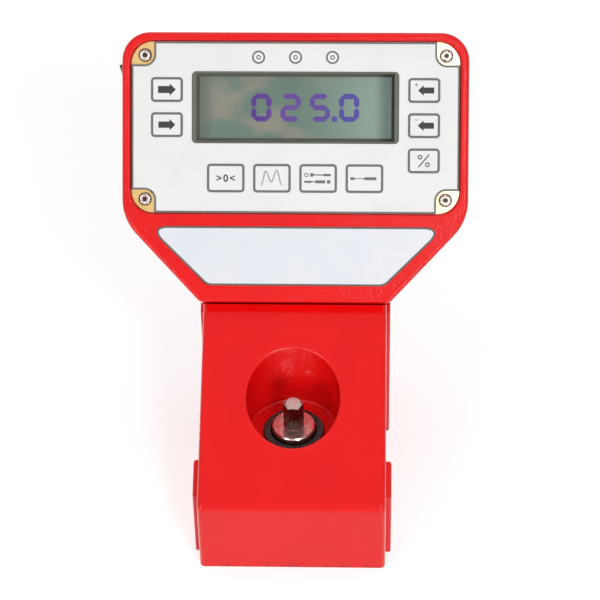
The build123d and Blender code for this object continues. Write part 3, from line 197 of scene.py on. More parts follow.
class Outputs:
    """The outputs of one added node."""

    def __init__(self, shader: "Shader", made: bpy.types.Node) -> None:
        """Wrap a node of a shader's tree."""
        self.shader = shader
        self.made = made

    def value(self, name: Union[str, int] = 0) -> Value:
        """Take an output as a number."""
        return Value(self.shader, self.made.outputs[name])

    def tint(self, name: Union[str, int] = 0) -> Tint:
        """Take an output as a colour or vector."""
        return Tint(self.shader, self.made.outputs[name])


class Shader:
    """The node tree of one material, with a Principled surface."""

    def __init__(self, name: str) -> None:
        """Start a material with a bare Principled surface.

        Args:
            name: The material's name.
        """
        self.material = bpy.data.materials.new(name)
        self.material.use_nodes = True
        self.tree = self.material.node_tree
        self.tree.nodes.clear()
        self.output = self.tree.nodes.new("ShaderNodeOutputMaterial")
        self.surface = self.node("ShaderNodeBsdfPrincipled")
        self.tree.links.new(self.surface.made.outputs[0], self.output.inputs["Surface"])

    def node(
        self,
        kind: str,
        settings: Mapping[str, object] | None = None,
        inputs: Mapping[Union[str, int], Wired] | None = None,
    ) -> Outputs:
        """Add a node, set it up and wire its sockets.

        Args:
            kind: The node's type.
            settings: Its properties, and under "stops" the places and colours of a ramp.
            inputs: Values or wrapped sockets by socket name or number.

        Returns:
            The node's outputs.
        """
        made = self.tree.nodes.new(kind)
        for name, setting in (settings or {}).items():
            if name == "stops":
                self._set_stops(made.color_ramp, setting)
            else:
                setattr(made, name, setting)
        for name, given in (inputs or {}).items():
            self.wire(made.inputs[name], given)
        return Outputs(self, made)

    @staticmethod
    def _set_stops(ramp: bpy.types.ColorRamp, stops: Sequence[tuple[float, Colour]]) -> None:
        """Give a colour ramp its stops.

        Args:
            ramp: The ramp.
            stops: Each stop's place and colour.
        """
        while len(ramp.elements) < len(stops):
            ramp.elements.new(1.0)
        for element, (place, colour) in zip(ramp.elements, stops):
            element.position = place
            element.color = (*colour, 1.0)

    def wire(self, socket: bpy.types.NodeSocket, given: Wired) -> None:
        """Set a socket to a constant or link it.

        Args:
            socket: The input socket.
            given: A number, a colour, or a wrapped output.
        """
        if isinstance(given, (Value, Tint)):
            self.tree.links.new(given.socket, socket)
        elif isinstance(given, tuple) and len(given) == 3 and socket.type == "RGBA":
            socket.default_value = (*given, 1.0)
        else:
            socket.default_value = given

    def set(self, **given: Wired) -> None:
        """Set or link sockets of the Principled surface, with _ for each space in a name."""
        for name, what in given.items():
            self.wire(self.surface.made.inputs[name.replace("_", " ")], what)

    def mix(self, first: Wired, second: Wired, share: Wired) -> Tint:
        """Mix two colours.

        Args:
            first: The colour at a share of 0.
            second: The colour at a share of 1.
            share: How much of the second there is.

        Returns:
            The mixed colour.
        """
        mixed = self.node("ShaderNodeMix", {"data_type": "RGBA"}, {0: share, 6: first, 7: second})
        return mixed.tint(2)

    def place(self) -> Tint:
        """Give the point on the object, in metres in the object's own frame."""
        return self.node("ShaderNodeTexCoord").tint("Object")

    def axes(self, point: Tint) -> tuple[Value, Value, Value]:
        """Split a point into its three numbers."""
        split = self.node("ShaderNodeSeparateXYZ", None, {0: point})
        return split.value(0), split.value(1), split.value(2)

    def along(self, point: Tint, direction: Vector) -> Value:
        """Measure a point along a direction.

        Args:
            point: The point.
            direction: A unit direction.

        Returns:
            The distance from the frame's origin along it.
        """
        inputs = {0: point, 1: tuple(direction)}
        return self.node("ShaderNodeVectorMath", {"operation": "DOT_PRODUCT"}, inputs).value("Value")

    def stretched(self, point: Tint, scale: Sequence[float], turn: Sequence[float] = (0, 0, 0)) -> Tint:
        """Scale and turn a point through a Mapping node.

        Args:
            point: The point.
            scale: The three scale factors.
            turn: The three angles in radians.

        Returns:
            The changed point.
        """
        inputs = {"Vector": point, "Scale": tuple(scale), "Rotation": tuple(turn)}
        return self.node("ShaderNodeMapping", None, inputs).tint()

    def noise(self, point: Tint, size: float, detail: float = 2.0, roughness: float = 0.5) -> Value:
        """Add a cloud pattern.

        Args:
            point: Where it is read.
            size: The size of one cloud in metres.
            detail: How many finer layers it has.
            roughness: How strong the finer layers are.

        Returns:
            The pattern, about 0.5 on average.
        """
        inputs = {"Vector": point, "Scale": 1 / size, "Detail": detail, "Roughness": roughness}
        return self.node("ShaderNodeTexNoise", None, inputs).value(0)

    def cells(self, point: Tint, size: float) -> Value:
        """Add a cell pattern.

        Args:
            point: Where it is read.
            size: The size of one cell in metres.

        Returns:
            The distance to the nearest cell's middle, in cells.
        """
        inputs = {"Vector": point, "Scale": 1 / size}
        return self.node("ShaderNodeTexVoronoi", {"feature": "F1"}, inputs).value("Distance")

    def wave(self, phase: Value) -> Value:
        """Give the sine of a phase in radians."""
        return self.node("ShaderNodeMath", {"operation": "SINE"}, {0: phase}).value()

    def bump(self, height: Value, depth: float, coated: bool = False) -> None:
        """Raise the surface by a pattern.

        Args:
            height: The pattern, from 0 to 1.
            depth: The height in metres that 1 stands for.
            coated: Whether the clear coat follows the pattern too.
        """
        inputs = {"Height": height, "Distance": depth}
        normal = self.node("ShaderNodeBump", None, inputs).tint()
        self.set(Normal=normal)
        if coated:
            self.set(Coat_Normal=normal)


@dataclass(frozen=True)
class Finish:
    """A surface finish, which makes one material for each record slot."""

    slot: str

    def shade(self, shader: Shader) -> None:
        """Wire the finish into a shader."""
        raise NotImplementedError

    def material(self, suffix: str = "") -> bpy.types.Material:
        """Make the material.

        Args:
            suffix: An addition to its name, where a slot has more than one.

        Returns:
            The finished material.
        """
        shader = Shader(self.slot + suffix)
        self.shade(shader)
        return shader.material


@dataclass(frozen=True)
class Enamel(Finish):
    """Stoved red enamel: a fine orange peel, a coarse one inside the drive's well, and a rubbed foot."""

    colour: Colour = linear(232, 10, 12)
    shaded: Colour = linear(226, 8, 10)
    rubbed: Colour = linear(150, 24, 22)
    peel: float = 1.2 * MM
    peel_depth: float = 0.2 * MM
    grain: float = 0.35 * MM
    grain_share: float = 0.2
    roughness: float = 0.17
    gloss: float = 0.26
    foot_height: float = 5 * MM
    well_y: float = 0.0
    well_radius: float = 0.0
    well_floor: float = 52 * MM
    well_peel: float = 1.0 * MM
    well_depth: float = 0.34 * MM
    well_coat: float = 1.0
    well_coat_roughness: float = 0.12
    well_smoothing: float = 0.06
    well_edge: float = 0.1 * MM
    drift: float = 45 * MM
    scuff: float = 5 * MM

    def shade(self, shader: Shader) -> None:
        """Wire the enamel: two sizes of peel, faint drift of colour and a rubbed foot."""
        point = shader.place()
        x, y, z = shader.axes(point)
        peel = shader.noise(point, self.peel, 2.0, 0.5)
        grain = shader.noise(point, self.grain, 1.0, 0.4)
        drift = shader.noise(point, self.drift, 3.0, 0.5)
        scuffs = shader.noise(shader.stretched(point, (1, 0.25, 1)), self.scuff, 4.0, 0.62)
        base = shader.mix(self.colour, self.shaded, drift.ramp(0.40, 0.70))
        base = base.mix(self.rubbed, z.ramp(0.0, self.foot_height, 0.6, 0.0) * scuffs.ramp(0.45, 0.60))
        rough = self.roughness + scuffs.ramp(0.5, 0.7, 0.0, 0.04) + peel.ramp(0.4, 0.6, -0.03, 0.03)
        height = peel + grain * self.grain_share
        if self.well_radius > 0:
            offset = y - self.well_y
            within = x * x + offset * offset < (self.well_radius + self.well_edge) ** 2
            inside = within * (z > self.well_floor)
            coarse = shader.noise(point, self.well_peel, 1.0, 0.4)
            height = height + coarse * inside * (self.well_depth / self.peel_depth)
            rough = rough - inside * self.well_smoothing
            shader.set(Coat_Weight=inside * self.well_coat, Coat_Roughness=self.well_coat_roughness)
        shader.set(Base_Color=base, Roughness=rough, Specular_IOR_Level=self.gloss)
        shader.bump(height, self.peel_depth, coated=self.well_radius > 0)


@dataclass(frozen=True)
class TurnedSteel(Finish):
    """Turned steel of the drive: a disc tinted pink as a painted reflection of the red casting, and a hexagon
    with painted shade on its flanks and a painted highlight on its top.
    """

    axis_y: float
    hex_foot: float
    hex_top: float
    # The pink of the disc and top is a painted reflection of the red casting; the dark flanks are painted
    # shade and the light top a painted highlight.
    disc: Colour = linear(202, 168, 166)
    dull: Colour = linear(166, 136, 132)
    flank: Colour = linear(120, 108, 102)
    streak: Colour = linear(78, 68, 64)
    top: Colour = linear(198, 178, 174)
    brown: Colour = linear(128, 92, 72)
    roughness: float = 0.22
    ring_pitch: float = 0.35 * MM
    corner: float = 5.7735 * MM
    chamfer: float = 0.9 * MM
    smear: float = 6 * MM
    streak_width: float = 0.7 * MM
    flank_edge: float = 0.25 * MM
    cone_edge: float = 0.08 * MM
    crown_edge: float = 0.03 * MM
    crown_brown: float = 0.35
    depth: float = 0.0012 * MM

    def shade(self, shader: Shader) -> None:
        """Wire the steel: rings round the axis, streaks down the flanks, painted shade on the flanks, a
        painted highlight on the top and a painted reflection of the red casting on the top's corners.
        """
        point = shader.place()
        x, y, z = shader.axes(point)
        offset = y - self.axis_y
        radius = (x * x + offset * offset) ** 0.5
        rings = shader.wave(radius * (2 * math.pi / self.ring_pitch))
        smear = shader.noise(point, self.smear, 2.0, 0.5)
        streaks = shader.noise(shader.stretched(point, (1, 1, 0.06)), self.streak_width, 3.0, 0.6)
        height = z - self.hex_foot
        on_flank = height > self.flank_edge
        cone = (z - (self.hex_top - self.chamfer)) * -2.0 + self.corner
        on_top = (radius > cone - self.cone_edge) * (z > self.hex_top - self.chamfer)
        crown = z > self.hex_top - self.crown_edge
        # Painted reflection: brown of the red casting on the top's chamfered corners.
        corner_reflection = on_top * (1 - crown) * self.crown_brown
        base = shader.mix(self.disc, self.dull, smear.ramp(0.42, 0.7, 0.0, 0.7))
        flank = shader.mix(self.flank, self.streak, streaks.ramp(0.38, 0.62))
        top = shader.mix(self.top, self.brown, smear.ramp(0.5, 0.75, 0.0, 0.4)).mix(self.brown, corner_reflection)
        # Painted shade on the flanks and a painted highlight on the top.
        base = base.mix(flank, on_flank).mix(top, on_top + crown > 0.5)
        shader.set(Base_Color=base, Metallic=1.0, Roughness=smear.ramp(0.3, 0.75, 0.7, 1.6) * self.roughness)
        shader.bump(rings * 0.5 + smear + streaks, self.depth)


@dataclass(frozen=True)
class PlainMetal(Finish):
    """Plated, milled or oxidised metal with fine scratches and blotches."""

    colour: Colour = (0.6, 0.58, 0.55)
    stain: Colour = (0.4, 0.37, 0.34)
    stained: float = 0.5
    roughness: float = 0.3
    metallic: float = 1.0
    blotch: float = 3 * MM
    scratch: float = 0.25 * MM
    scratch_depth: float = 0.002 * MM
    gloss: float = 0.5

    def shade(self, shader: Shader) -> None:
        """Wire the metal: blotches of stain and drawn scratches."""
        point = shader.place()
        blotches = shader.noise(point, self.blotch, 4.0, 0.6)
        scratches = shader.noise(shader.stretched(point, (1, 0.08, 1)), self.scratch, 2.0, 0.6)
        base = shader.mix(self.colour, self.stain, blotches.ramp(0.4, 0.7, 0.0, self.stained))
        rough = blotches.ramp(0.3, 0.7, 0.85, 1.25) * self.roughness
        shader.set(Base_Color=base, Metallic=self.metallic, Roughness=rough, Specular_IOR_Level=self.gloss)
        shader.bump(scratches, self.scratch_depth)


@dataclass(frozen=True)
class DomeScrew(Finish):
    """Plated button heads, with a painted highlight on the crown and painted shade at the foot and in the
    socket.
    """

    out: Vector
    seat: float
    height: float
    # The colours by height are painted light: a highlight on the crown, shade at the foot and in the socket.
    bright: Colour = linear(206, 194, 190)
    foot: Colour = linear(104, 82, 72)
    pit: Colour = linear(66, 54, 50)
    roughness: float = 0.24
    stain: float = 1.1 * MM
    scratch: float = 0.2 * MM
    scratch_depth: float = 0.002 * MM

    def shade(self, shader: Shader) -> None:
        """Wire painted light and shade by the height above the seat, lighter on the crown and darker at the
        foot and in the socket, with stains and fine scratches.
        """
        point = shader.place()
        share = (shader.along(point, self.out) - self.seat) / self.height
        stain = shader.noise(point, self.stain, 3.0, 0.6)
        scratches = shader.noise(shader.stretched(point, (1, 0.1, 1)), self.scratch, 2.0, 0.6)
        # Painted shade low on the head and in the socket, then a painted highlight on the crown.
        base = shader.mix(self.pit, self.foot, share.ramp(0.35, 0.6))
        base = base.mix(self.bright, (share + stain.ramp(0.35, 0.65, -0.14, 0.06)).ramp(0.76, 0.99))
        shader.set(Base_Color=base, Metallic=1.0, Roughness=stain.ramp(0.3, 0.7, 0.8, 1.4) * self.roughness)
        shader.bump(scratches, self.scratch_depth)


@dataclass(frozen=True)
class Chromate(Finish):
    """Yellow passivated zinc, which shimmers from yellow to pink and green, with painted light that pales it
    towards the right.
    """

    yellow: Colour = linear(216, 180, 118)
    pale: Colour = linear(246, 236, 194)
    pink: Colour = linear(224, 178, 140)
    green: Colour = linear(208, 200, 140)
    roughness: float = 0.28
    half_width: float = 92 * MM
    drift: float = 6 * MM
    shimmer: float = 9 * MM
    grain: float = 0.2 * MM
    grain_depth: float = 0.0015 * MM

    def shade(self, shader: Shader) -> None:
        """Wire the film's drift of colour, the painted light that pales the plate towards the right, and the
        rolled grain under it.
        """
        point = shader.place()
        drift = shader.noise(point, self.drift, 3.0, 0.55)
        shimmer = shader.noise(shader.stretched(point, (1.3, 0.8, 1.1)), self.shimmer, 2.0, 0.5)
        grain = shader.noise(shader.stretched(point, (0.06, 1, 1)), self.grain, 2.0, 0.6)
        across, _, _ = shader.axes(point)
        # Painted light: the plate pales from yellow on the left to near white on the right, as if lit from
        # the right.
        base = shader.mix(self.yellow, self.pale, across.ramp(-self.half_width, self.half_width))
        base = base.mix(self.pink, drift.ramp(0.52, 0.72, 0.0, 0.6))
        base = base.mix(self.green, shimmer.ramp(0.55, 0.75, 0.0, 0.5))
        shader.set(Base_Color=base, Metallic=0.75, Roughness=grain.ramp(0.3, 0.7, 0.8, 1.3) * self.roughness)
        shader.bump(grain, self.grain_depth)


@dataclass(frozen=True)
class SerratedSteel(Finish):
    """Blackened steel of the lock ring: serrated crests between its cut notches, with painted glints on them.
    """

    axis_y: float
    colour: Colour = linear(26, 22, 22)
    bright: Colour = linear(132, 118, 118)
    roughness: float = 0.36
    notches: int = 48
    depth: float = 0.35 * MM
    nick_and_glint: float = 0.7 * MM

    def shade(self, shader: Shader) -> None:
        """Wire the painted glints on the crests, in step with the notches of which one lies on +X, and the
        scattered flaws that break them up.
        """
        point = shader.place()
        x, y, _ = shader.axes(point)
        angle = shader.node("ShaderNodeMath", {"operation": "ARCTAN2"}, {0: y - self.axis_y, 1: x}).value()
        wave = shader.wave(angle * self.notches - math.pi / 2)
        nicks_and_glints = shader.noise(point, self.nick_and_glint, 3.0, 0.6)
        # Painted glints: pale patches along the crests, broken up by the scattered pattern.
        share = wave.ramp(-0.2, 0.9, 0.15, 1.0) * nicks_and_glints.ramp(0.44, 0.66)
        shader.set(
            Base_Color=shader.mix(self.colour, self.bright, share),
            Metallic=0.4,
            Roughness=nicks_and_glints.ramp(0.35, 0.7, 0.1, -0.1) + self.roughness,
        )
        shader.bump(wave * 0.5 + nicks_and_glints, self.depth)


@dataclass(frozen=True)
class Moulded(Finish):
    """Moulded plastic or rubber with a spark-eroded grain and faint dust."""

    colour: Colour = (0.04, 0.04, 0.04)
    dusted: Colour = (0.12, 0.115, 0.11)
    roughness: float = 0.45
    grain: float = 0.15 * MM
    grain_depth: float = 0.006 * MM
    dust: float = 0.25
    coat: float = 0.0
    dust_size: float = 5 * MM

    def shade(self, shader: Shader) -> None:
        """Wire the grain, a film of dust and the gloss."""
        point = shader.place()
        grain = shader.cells(point, self.grain)
        dust = shader.noise(point, self.dust_size, 4.0, 0.65)
        base = shader.mix(self.colour, self.dusted, dust.ramp(0.5, 0.8, 0.0, self.dust))
        rough = dust.ramp(0.35, 0.75, -0.04, 0.10) + self.roughness
        shader.set(Base_Color=base, Roughness=rough, Coat_Weight=self.coat, Coat_Roughness=0.08)
        shader.bump(grain, self.grain_depth)


@dataclass(frozen=True)
class PrintedSheet(Finish):
    """Back-printed polyester sheet with a fine matt front."""

    colour: Colour = linear(231, 231, 230)
    cloudy: Colour = linear(226, 227, 228)
    roughness: float = 0.42
    grain: float = 0.12 * MM
    grain_depth: float = 0.0018 * MM
    ripple_depth: float = 0.02 * MM
    ripple: float = 28 * MM
    cloud: float = 30 * MM

    def shade(self, shader: Shader) -> None:
        """Wire the matt grain, the slow ripple of a glued sheet and a faint cloud in its white."""
        point = shader.place()
        grain = shader.noise(point, self.grain, 1.0, 0.5)
        ripple = shader.noise(point, self.ripple, 1.0, 0.4)
        cloud = shader.noise(point, self.cloud, 2.0, 0.5)
        base = shader.mix(self.colour, self.cloudy, cloud.ramp(0.35, 0.7))
        shader.set(Base_Color=base, Roughness=cloud.ramp(0.3, 0.7, -0.03, 0.03) + self.roughness)
        shader.set(Specular_IOR_Level=0.3)
        shader.bump(grain * (self.grain_depth / self.ripple_depth) + ripple, self.ripple_depth)


@dataclass(frozen=True)
class Ink(Finish):
    """Screen-printed ink, a little uneven in its cover."""

    colour: Colour = linear(112, 112, 112)
    thin: Colour = linear(138, 138, 138)
    roughness: float = 0.5
    patch: float = 1.2 * MM
    depth: float = 0.001 * MM

    def shade(self, shader: Shader) -> None:
        """Wire the uneven cover and the print's fine grain."""
        point = shader.place()
        cover = shader.noise(point, self.patch, 3.0, 0.6)
        base = shader.mix(self.colour, self.thin, cover.ramp(0.45, 0.75, 0.0, 0.7))
        shader.set(Base_Color=base, Roughness=cover.ramp(0.3, 0.7, -0.05, 0.05) + self.roughness)
        shader.set(Specular_IOR_Level=0.2)
        shader.bump(cover, self.depth)


@dataclass(frozen=True)
class ClearFilm(Finish):
    """Clear plastic film or lens, nearly all see-through."""

    colour: Colour = linear(225, 232, 226)
    cover: float = 0.008
    smeared: float = 0.012
    roughness: float = 0.12
    smear: float = 12 * MM
    depth: float = 0.002 * MM

    def shade(self, shader: Shader) -> None:
        """Wire the haze, which a few smears make uneven."""
        point = shader.place()
        smear = shader.noise(shader.stretched(point, (0.5, 1, 1)), self.smear, 3.0, 0.6)
        shader.set(Base_Color=self.colour, Roughness=smear.ramp(0.3, 0.7, -0.03, 0.06) + self.roughness)
        shader.set(Alpha=smear.ramp(0.45, 0.8, 0.0, self.smeared) + self.cover, Specular_IOR_Level=0.15)
        shader.bump(smear, self.depth)


@dataclass(frozen=True)
class LiquidCrystal(Finish):
    """Green-grey reflective display glass, cooler to the right and clouded."""

    warm: Colour = linear(137, 136, 123)
    cool: Colour = linear(103, 124, 113)
    bright: Colour = linear(147, 168, 156)
    edge: Colour = linear(88, 103, 95)
    half_width: float = 54 * MM
    cloud: float = 28 * MM
    fine: float = 0.45 * MM
    depth: float = 0.004 * MM

    def shade(self, shader: Shader) -> None:
        """Wire the clouds, the drift of colour across the glass and painted shade along its right and left
        edges.
        """
        point = shader.place()
        x, _, _ = shader.axes(point)
        across = (x / (2 * self.half_width)) + 0.5
        clouds = shader.noise(shader.stretched(point, (1, 1.6, 1.6), (0, 0, 0.5)), self.cloud, 2.5, 0.45)
        base = shader.mix(self.cool, self.warm, clouds.ramp(0.42, 0.60) * across.ramp(0.35, 0.8, 1.0, 0.15))
        base = base.mix(self.bright, across.ramp(0.45, 1.0, 0.0, 0.75))
        fine = shader.noise(point, self.fine, 0.0, 0.5)
        # Painted shade: the glass darkens towards its right edge and, less, towards its left edge, under the
        # frame's walls.
        base = base.mix(self.edge, across.ramp(0.90, 0.985, 0.0, 0.8))
        base = base.mix(self.edge, across.ramp(0.015, 0.09, 0.7, 0.0))
        shader.set(Base_Color=base, Roughness=fine.ramp(0.3, 0.7, 0.10, 0.16))
        shader.set(Specular_IOR_Level=0.15)
        shader.bump(clouds, self.depth)


@dataclass(frozen=True)
class DisplayFrame(Finish):
    """Grey moulded frame whose inner slope falls away into shade, most of all on its right."""

    out: Vector
    lift: float
    half_width: float
    flat: Colour = linear(107, 110, 99)
    slope: Colour = linear(82, 84, 74)
    shaded: Colour = linear(36, 38, 34)
    roughness: float = 0.42
    dust: float = 5 * MM
    slope_depth: tuple[float, float] = (0.05 * MM, 0.4 * MM)
    shade_depth: tuple[float, float] = (0.1 * MM, 0.9 * MM)
    grain: float = 0.15 * MM
    grain_depth: float = 0.003 * MM

    def shade(self, shader: Shader) -> None:
        """Wire the colour by depth and side, over a fine moulded grain."""
        point = shader.place()
        across, _, _ = shader.axes(point)
        depth = self.lift - shader.along(point, self.out)
        right = (across / self.half_width).ramp(0.78, 0.88)
        dust = shader.noise(point, self.dust, 4.0, 0.65)
        base = shader.mix(self.flat, self.slope, depth.ramp(*self.slope_depth))
        base = base.mix(self.shaded, depth.ramp(*self.shade_depth) * right)
        shader.set(Base_Color=base, Roughness=dust.ramp(0.35, 0.75, -0.04, 0.08) + self.roughness)
        shader.set(Specular_IOR_Level=0.1)
        shader.bump(shader.cells(point, self.grain), self.grain_depth)


@dataclass(frozen=True)
class DisplaySegments(Finish):
    """Switched-on segments of the display, violet on the left and bluer on the right."""

    left: Colour = linear(80, 42, 134)
    middle: Colour = linear(98, 64, 146)
    right: Colour = linear(76, 68, 152)
    half_width: float = 34 * MM
    row_pitch: float = 0.4 * MM
    row_depth: float = 0.001 * MM

    def shade(self, shader: Shader) -> None:
        """Wire the drift from violet to blue and the fine row pattern."""
        point = shader.place()
        x, _, z = shader.axes(point)
        across = (x / (2 * self.half_width)) + 0.5
        rows = shader.wave(z * (2 * math.pi / self.row_pitch))
        base = shader.mix(self.left, self.middle, across.ramp(0.15, 0.5))
        base = base.mix(self.right, across.ramp(0.55, 0.95))
        base = base.mix(self.middle, rows.ramp(0.2, 1.0, 0.0, 0.18))
        shader.set(Base_Color=base, Roughness=0.35, Specular_IOR_Level=0.2)
        shader.bump(rows, self.row_depth)


@dataclass(frozen=True)
class CircuitBoard(Finish):
    """Green solder mask over copper tracks, with tinned pads."""

    mask: Colour = linear(18, 92, 48)
    track: Colour = linear(34, 128, 70)
    pad: Colour = linear(196, 190, 170)
    track_pitch: float = 2.54 * MM
    track_width: float = 0.07
    pad_share: float = 0.16
    track_depth: float = 0.03 * MM

    def shade(self, shader: Shader) -> None:
        """Wire the tracks as a brick pattern, and pads where cells are dense."""
        point = shader.place()
        inputs = {"Vector": point, "Scale": 1 / self.track_pitch, "Mortar Size": self.track_width}
        lines = shader.node("ShaderNodeTexBrick", None, inputs).value("Fac")
        pads = shader.cells(point, self.track_pitch) < self.pad_share
        base = shader.mix(self.mask, self.track, lines).mix(self.pad, pads)
        shader.set(Base_Color=base, Roughness=0.3, Metallic=pads * 0.8)
        shader.bump(lines + pads, self.track_depth)


@dataclass(frozen=True)
class FoilGauge(Finish):
    """Amber foil with the folded grid of a strain gauge."""

    film: Colour = linear(206, 140, 44)
    foil: Colour = linear(150, 120, 96)
    pitch: float = 0.5 * MM
    bar_depth: float = 0.01 * MM

    def shade(self, shader: Shader) -> None:
        """Wire the grid's fine bars across the film."""
        point = shader.place()
        _, _, z = shader.axes(point)
        wave = shader.wave(z * (2 * math.pi / self.pitch))
        bars = wave.ramp(-0.1, 0.1)
        shader.set(Base_Color=shader.mix(self.film, self.foil, bars), Metallic=bars * 0.7, Roughness=0.3)
        shader.bump(bars, self.bar_depth)


@dataclass(frozen=True)
class LampResin(Finish):
    """Milky resin of an unlit indicator lamp."""

    colour: Colour = linear(214, 214, 210)
    core: Colour = linear(150, 150, 148)
    cloud: float = 1.5 * MM
    cloud_depth: float = 0.01 * MM

    def shade(self, shader: Shader) -> None:
        """Wire the milky cloud and a glossy skin."""
        point = shader.place()
        cloud = shader.noise(point, self.cloud, 2.0, 0.5)
        shader.set(Base_Color=shader.mix(self.colour, self.core, cloud.ramp(0.4, 0.65)), Roughness=0.12)
        shader.set(Coat_Weight=0.5, Coat_Roughness=0.05)
        shader.bump(cloud, self.cloud_depth)


@dataclass(frozen=True)
class HeadPlane:
    """The plane of the tilted display head: u to the right, v up the face and lift out of it."""

    inward: Vector

    @property
    def out(self) -> Vector:
        """The direction out of the face."""
        return -self.inward.normalized()

    @property
    def right(self) -> Vector:
        """The direction of u."""
        return Vector((1, 0, 0))

    @property
    def up(self) -> Vector:
        """The direction of v, up along the face."""
        return self.out.cross(self.right)

    def span(self, node: str, direction: Vector) -> tuple[float, float]:
        """Measure a CAD node along a direction.

        Args:
            node: The node's name.
            direction: A unit direction.

        Returns:
            The node's lowest and highest place along it.
        """
        places = [vertex.co.dot(direction) for vertex in frame["nodes"][node].data.vertices]
        return min(places), max(places)

    def face(self, node: str) -> "Face":
        """Find the outer face of a flat node that lies in the head.

        Args:
            node: The node's name.

        Returns:
            Its middle, size and height.
        """
        left, right = self.span(node, self.right)
        low, high = self.span(node, self.up)
        _, top = self.span(node, self.out)
        return Face((left + right) / 2, (low + high) / 2, top, right - left, high - low)

    def back(self, node: str) -> "Face":
        """Find the rear face of a node that looks out of the head's back.

        Args:
            node: The node's name.

        Returns:
            Its middle, size and height, as for a front face.
        """
        front = self.face(node)
        rear, _ = self.span(node, self.out)
        return Face(front.u, front.v, rear, front.width, front.height)

    def matrix(self, u: float, v: float, lift: float) -> Matrix:
        """Give the transform that lays a flat drawing on the head.

        Args:
            u: The drawing's place to the right.
            v: Its place up the face.
            lift: Its place along the outward direction.

        Returns:
            The transform from the drawing's flat frame to the object's.
        """
        turn = Matrix((self.right, self.up, self.out)).transposed()
        middle = self.right * u + self.up * v + self.out * lift
        return Matrix.Translation(middle) @ turn.to_4x4()


@dataclass(frozen=True)
class Face:
    """The outer face of a flat piece in the head's plane."""

    u: float
    v: float
    lift: float
    width: float
    height: float


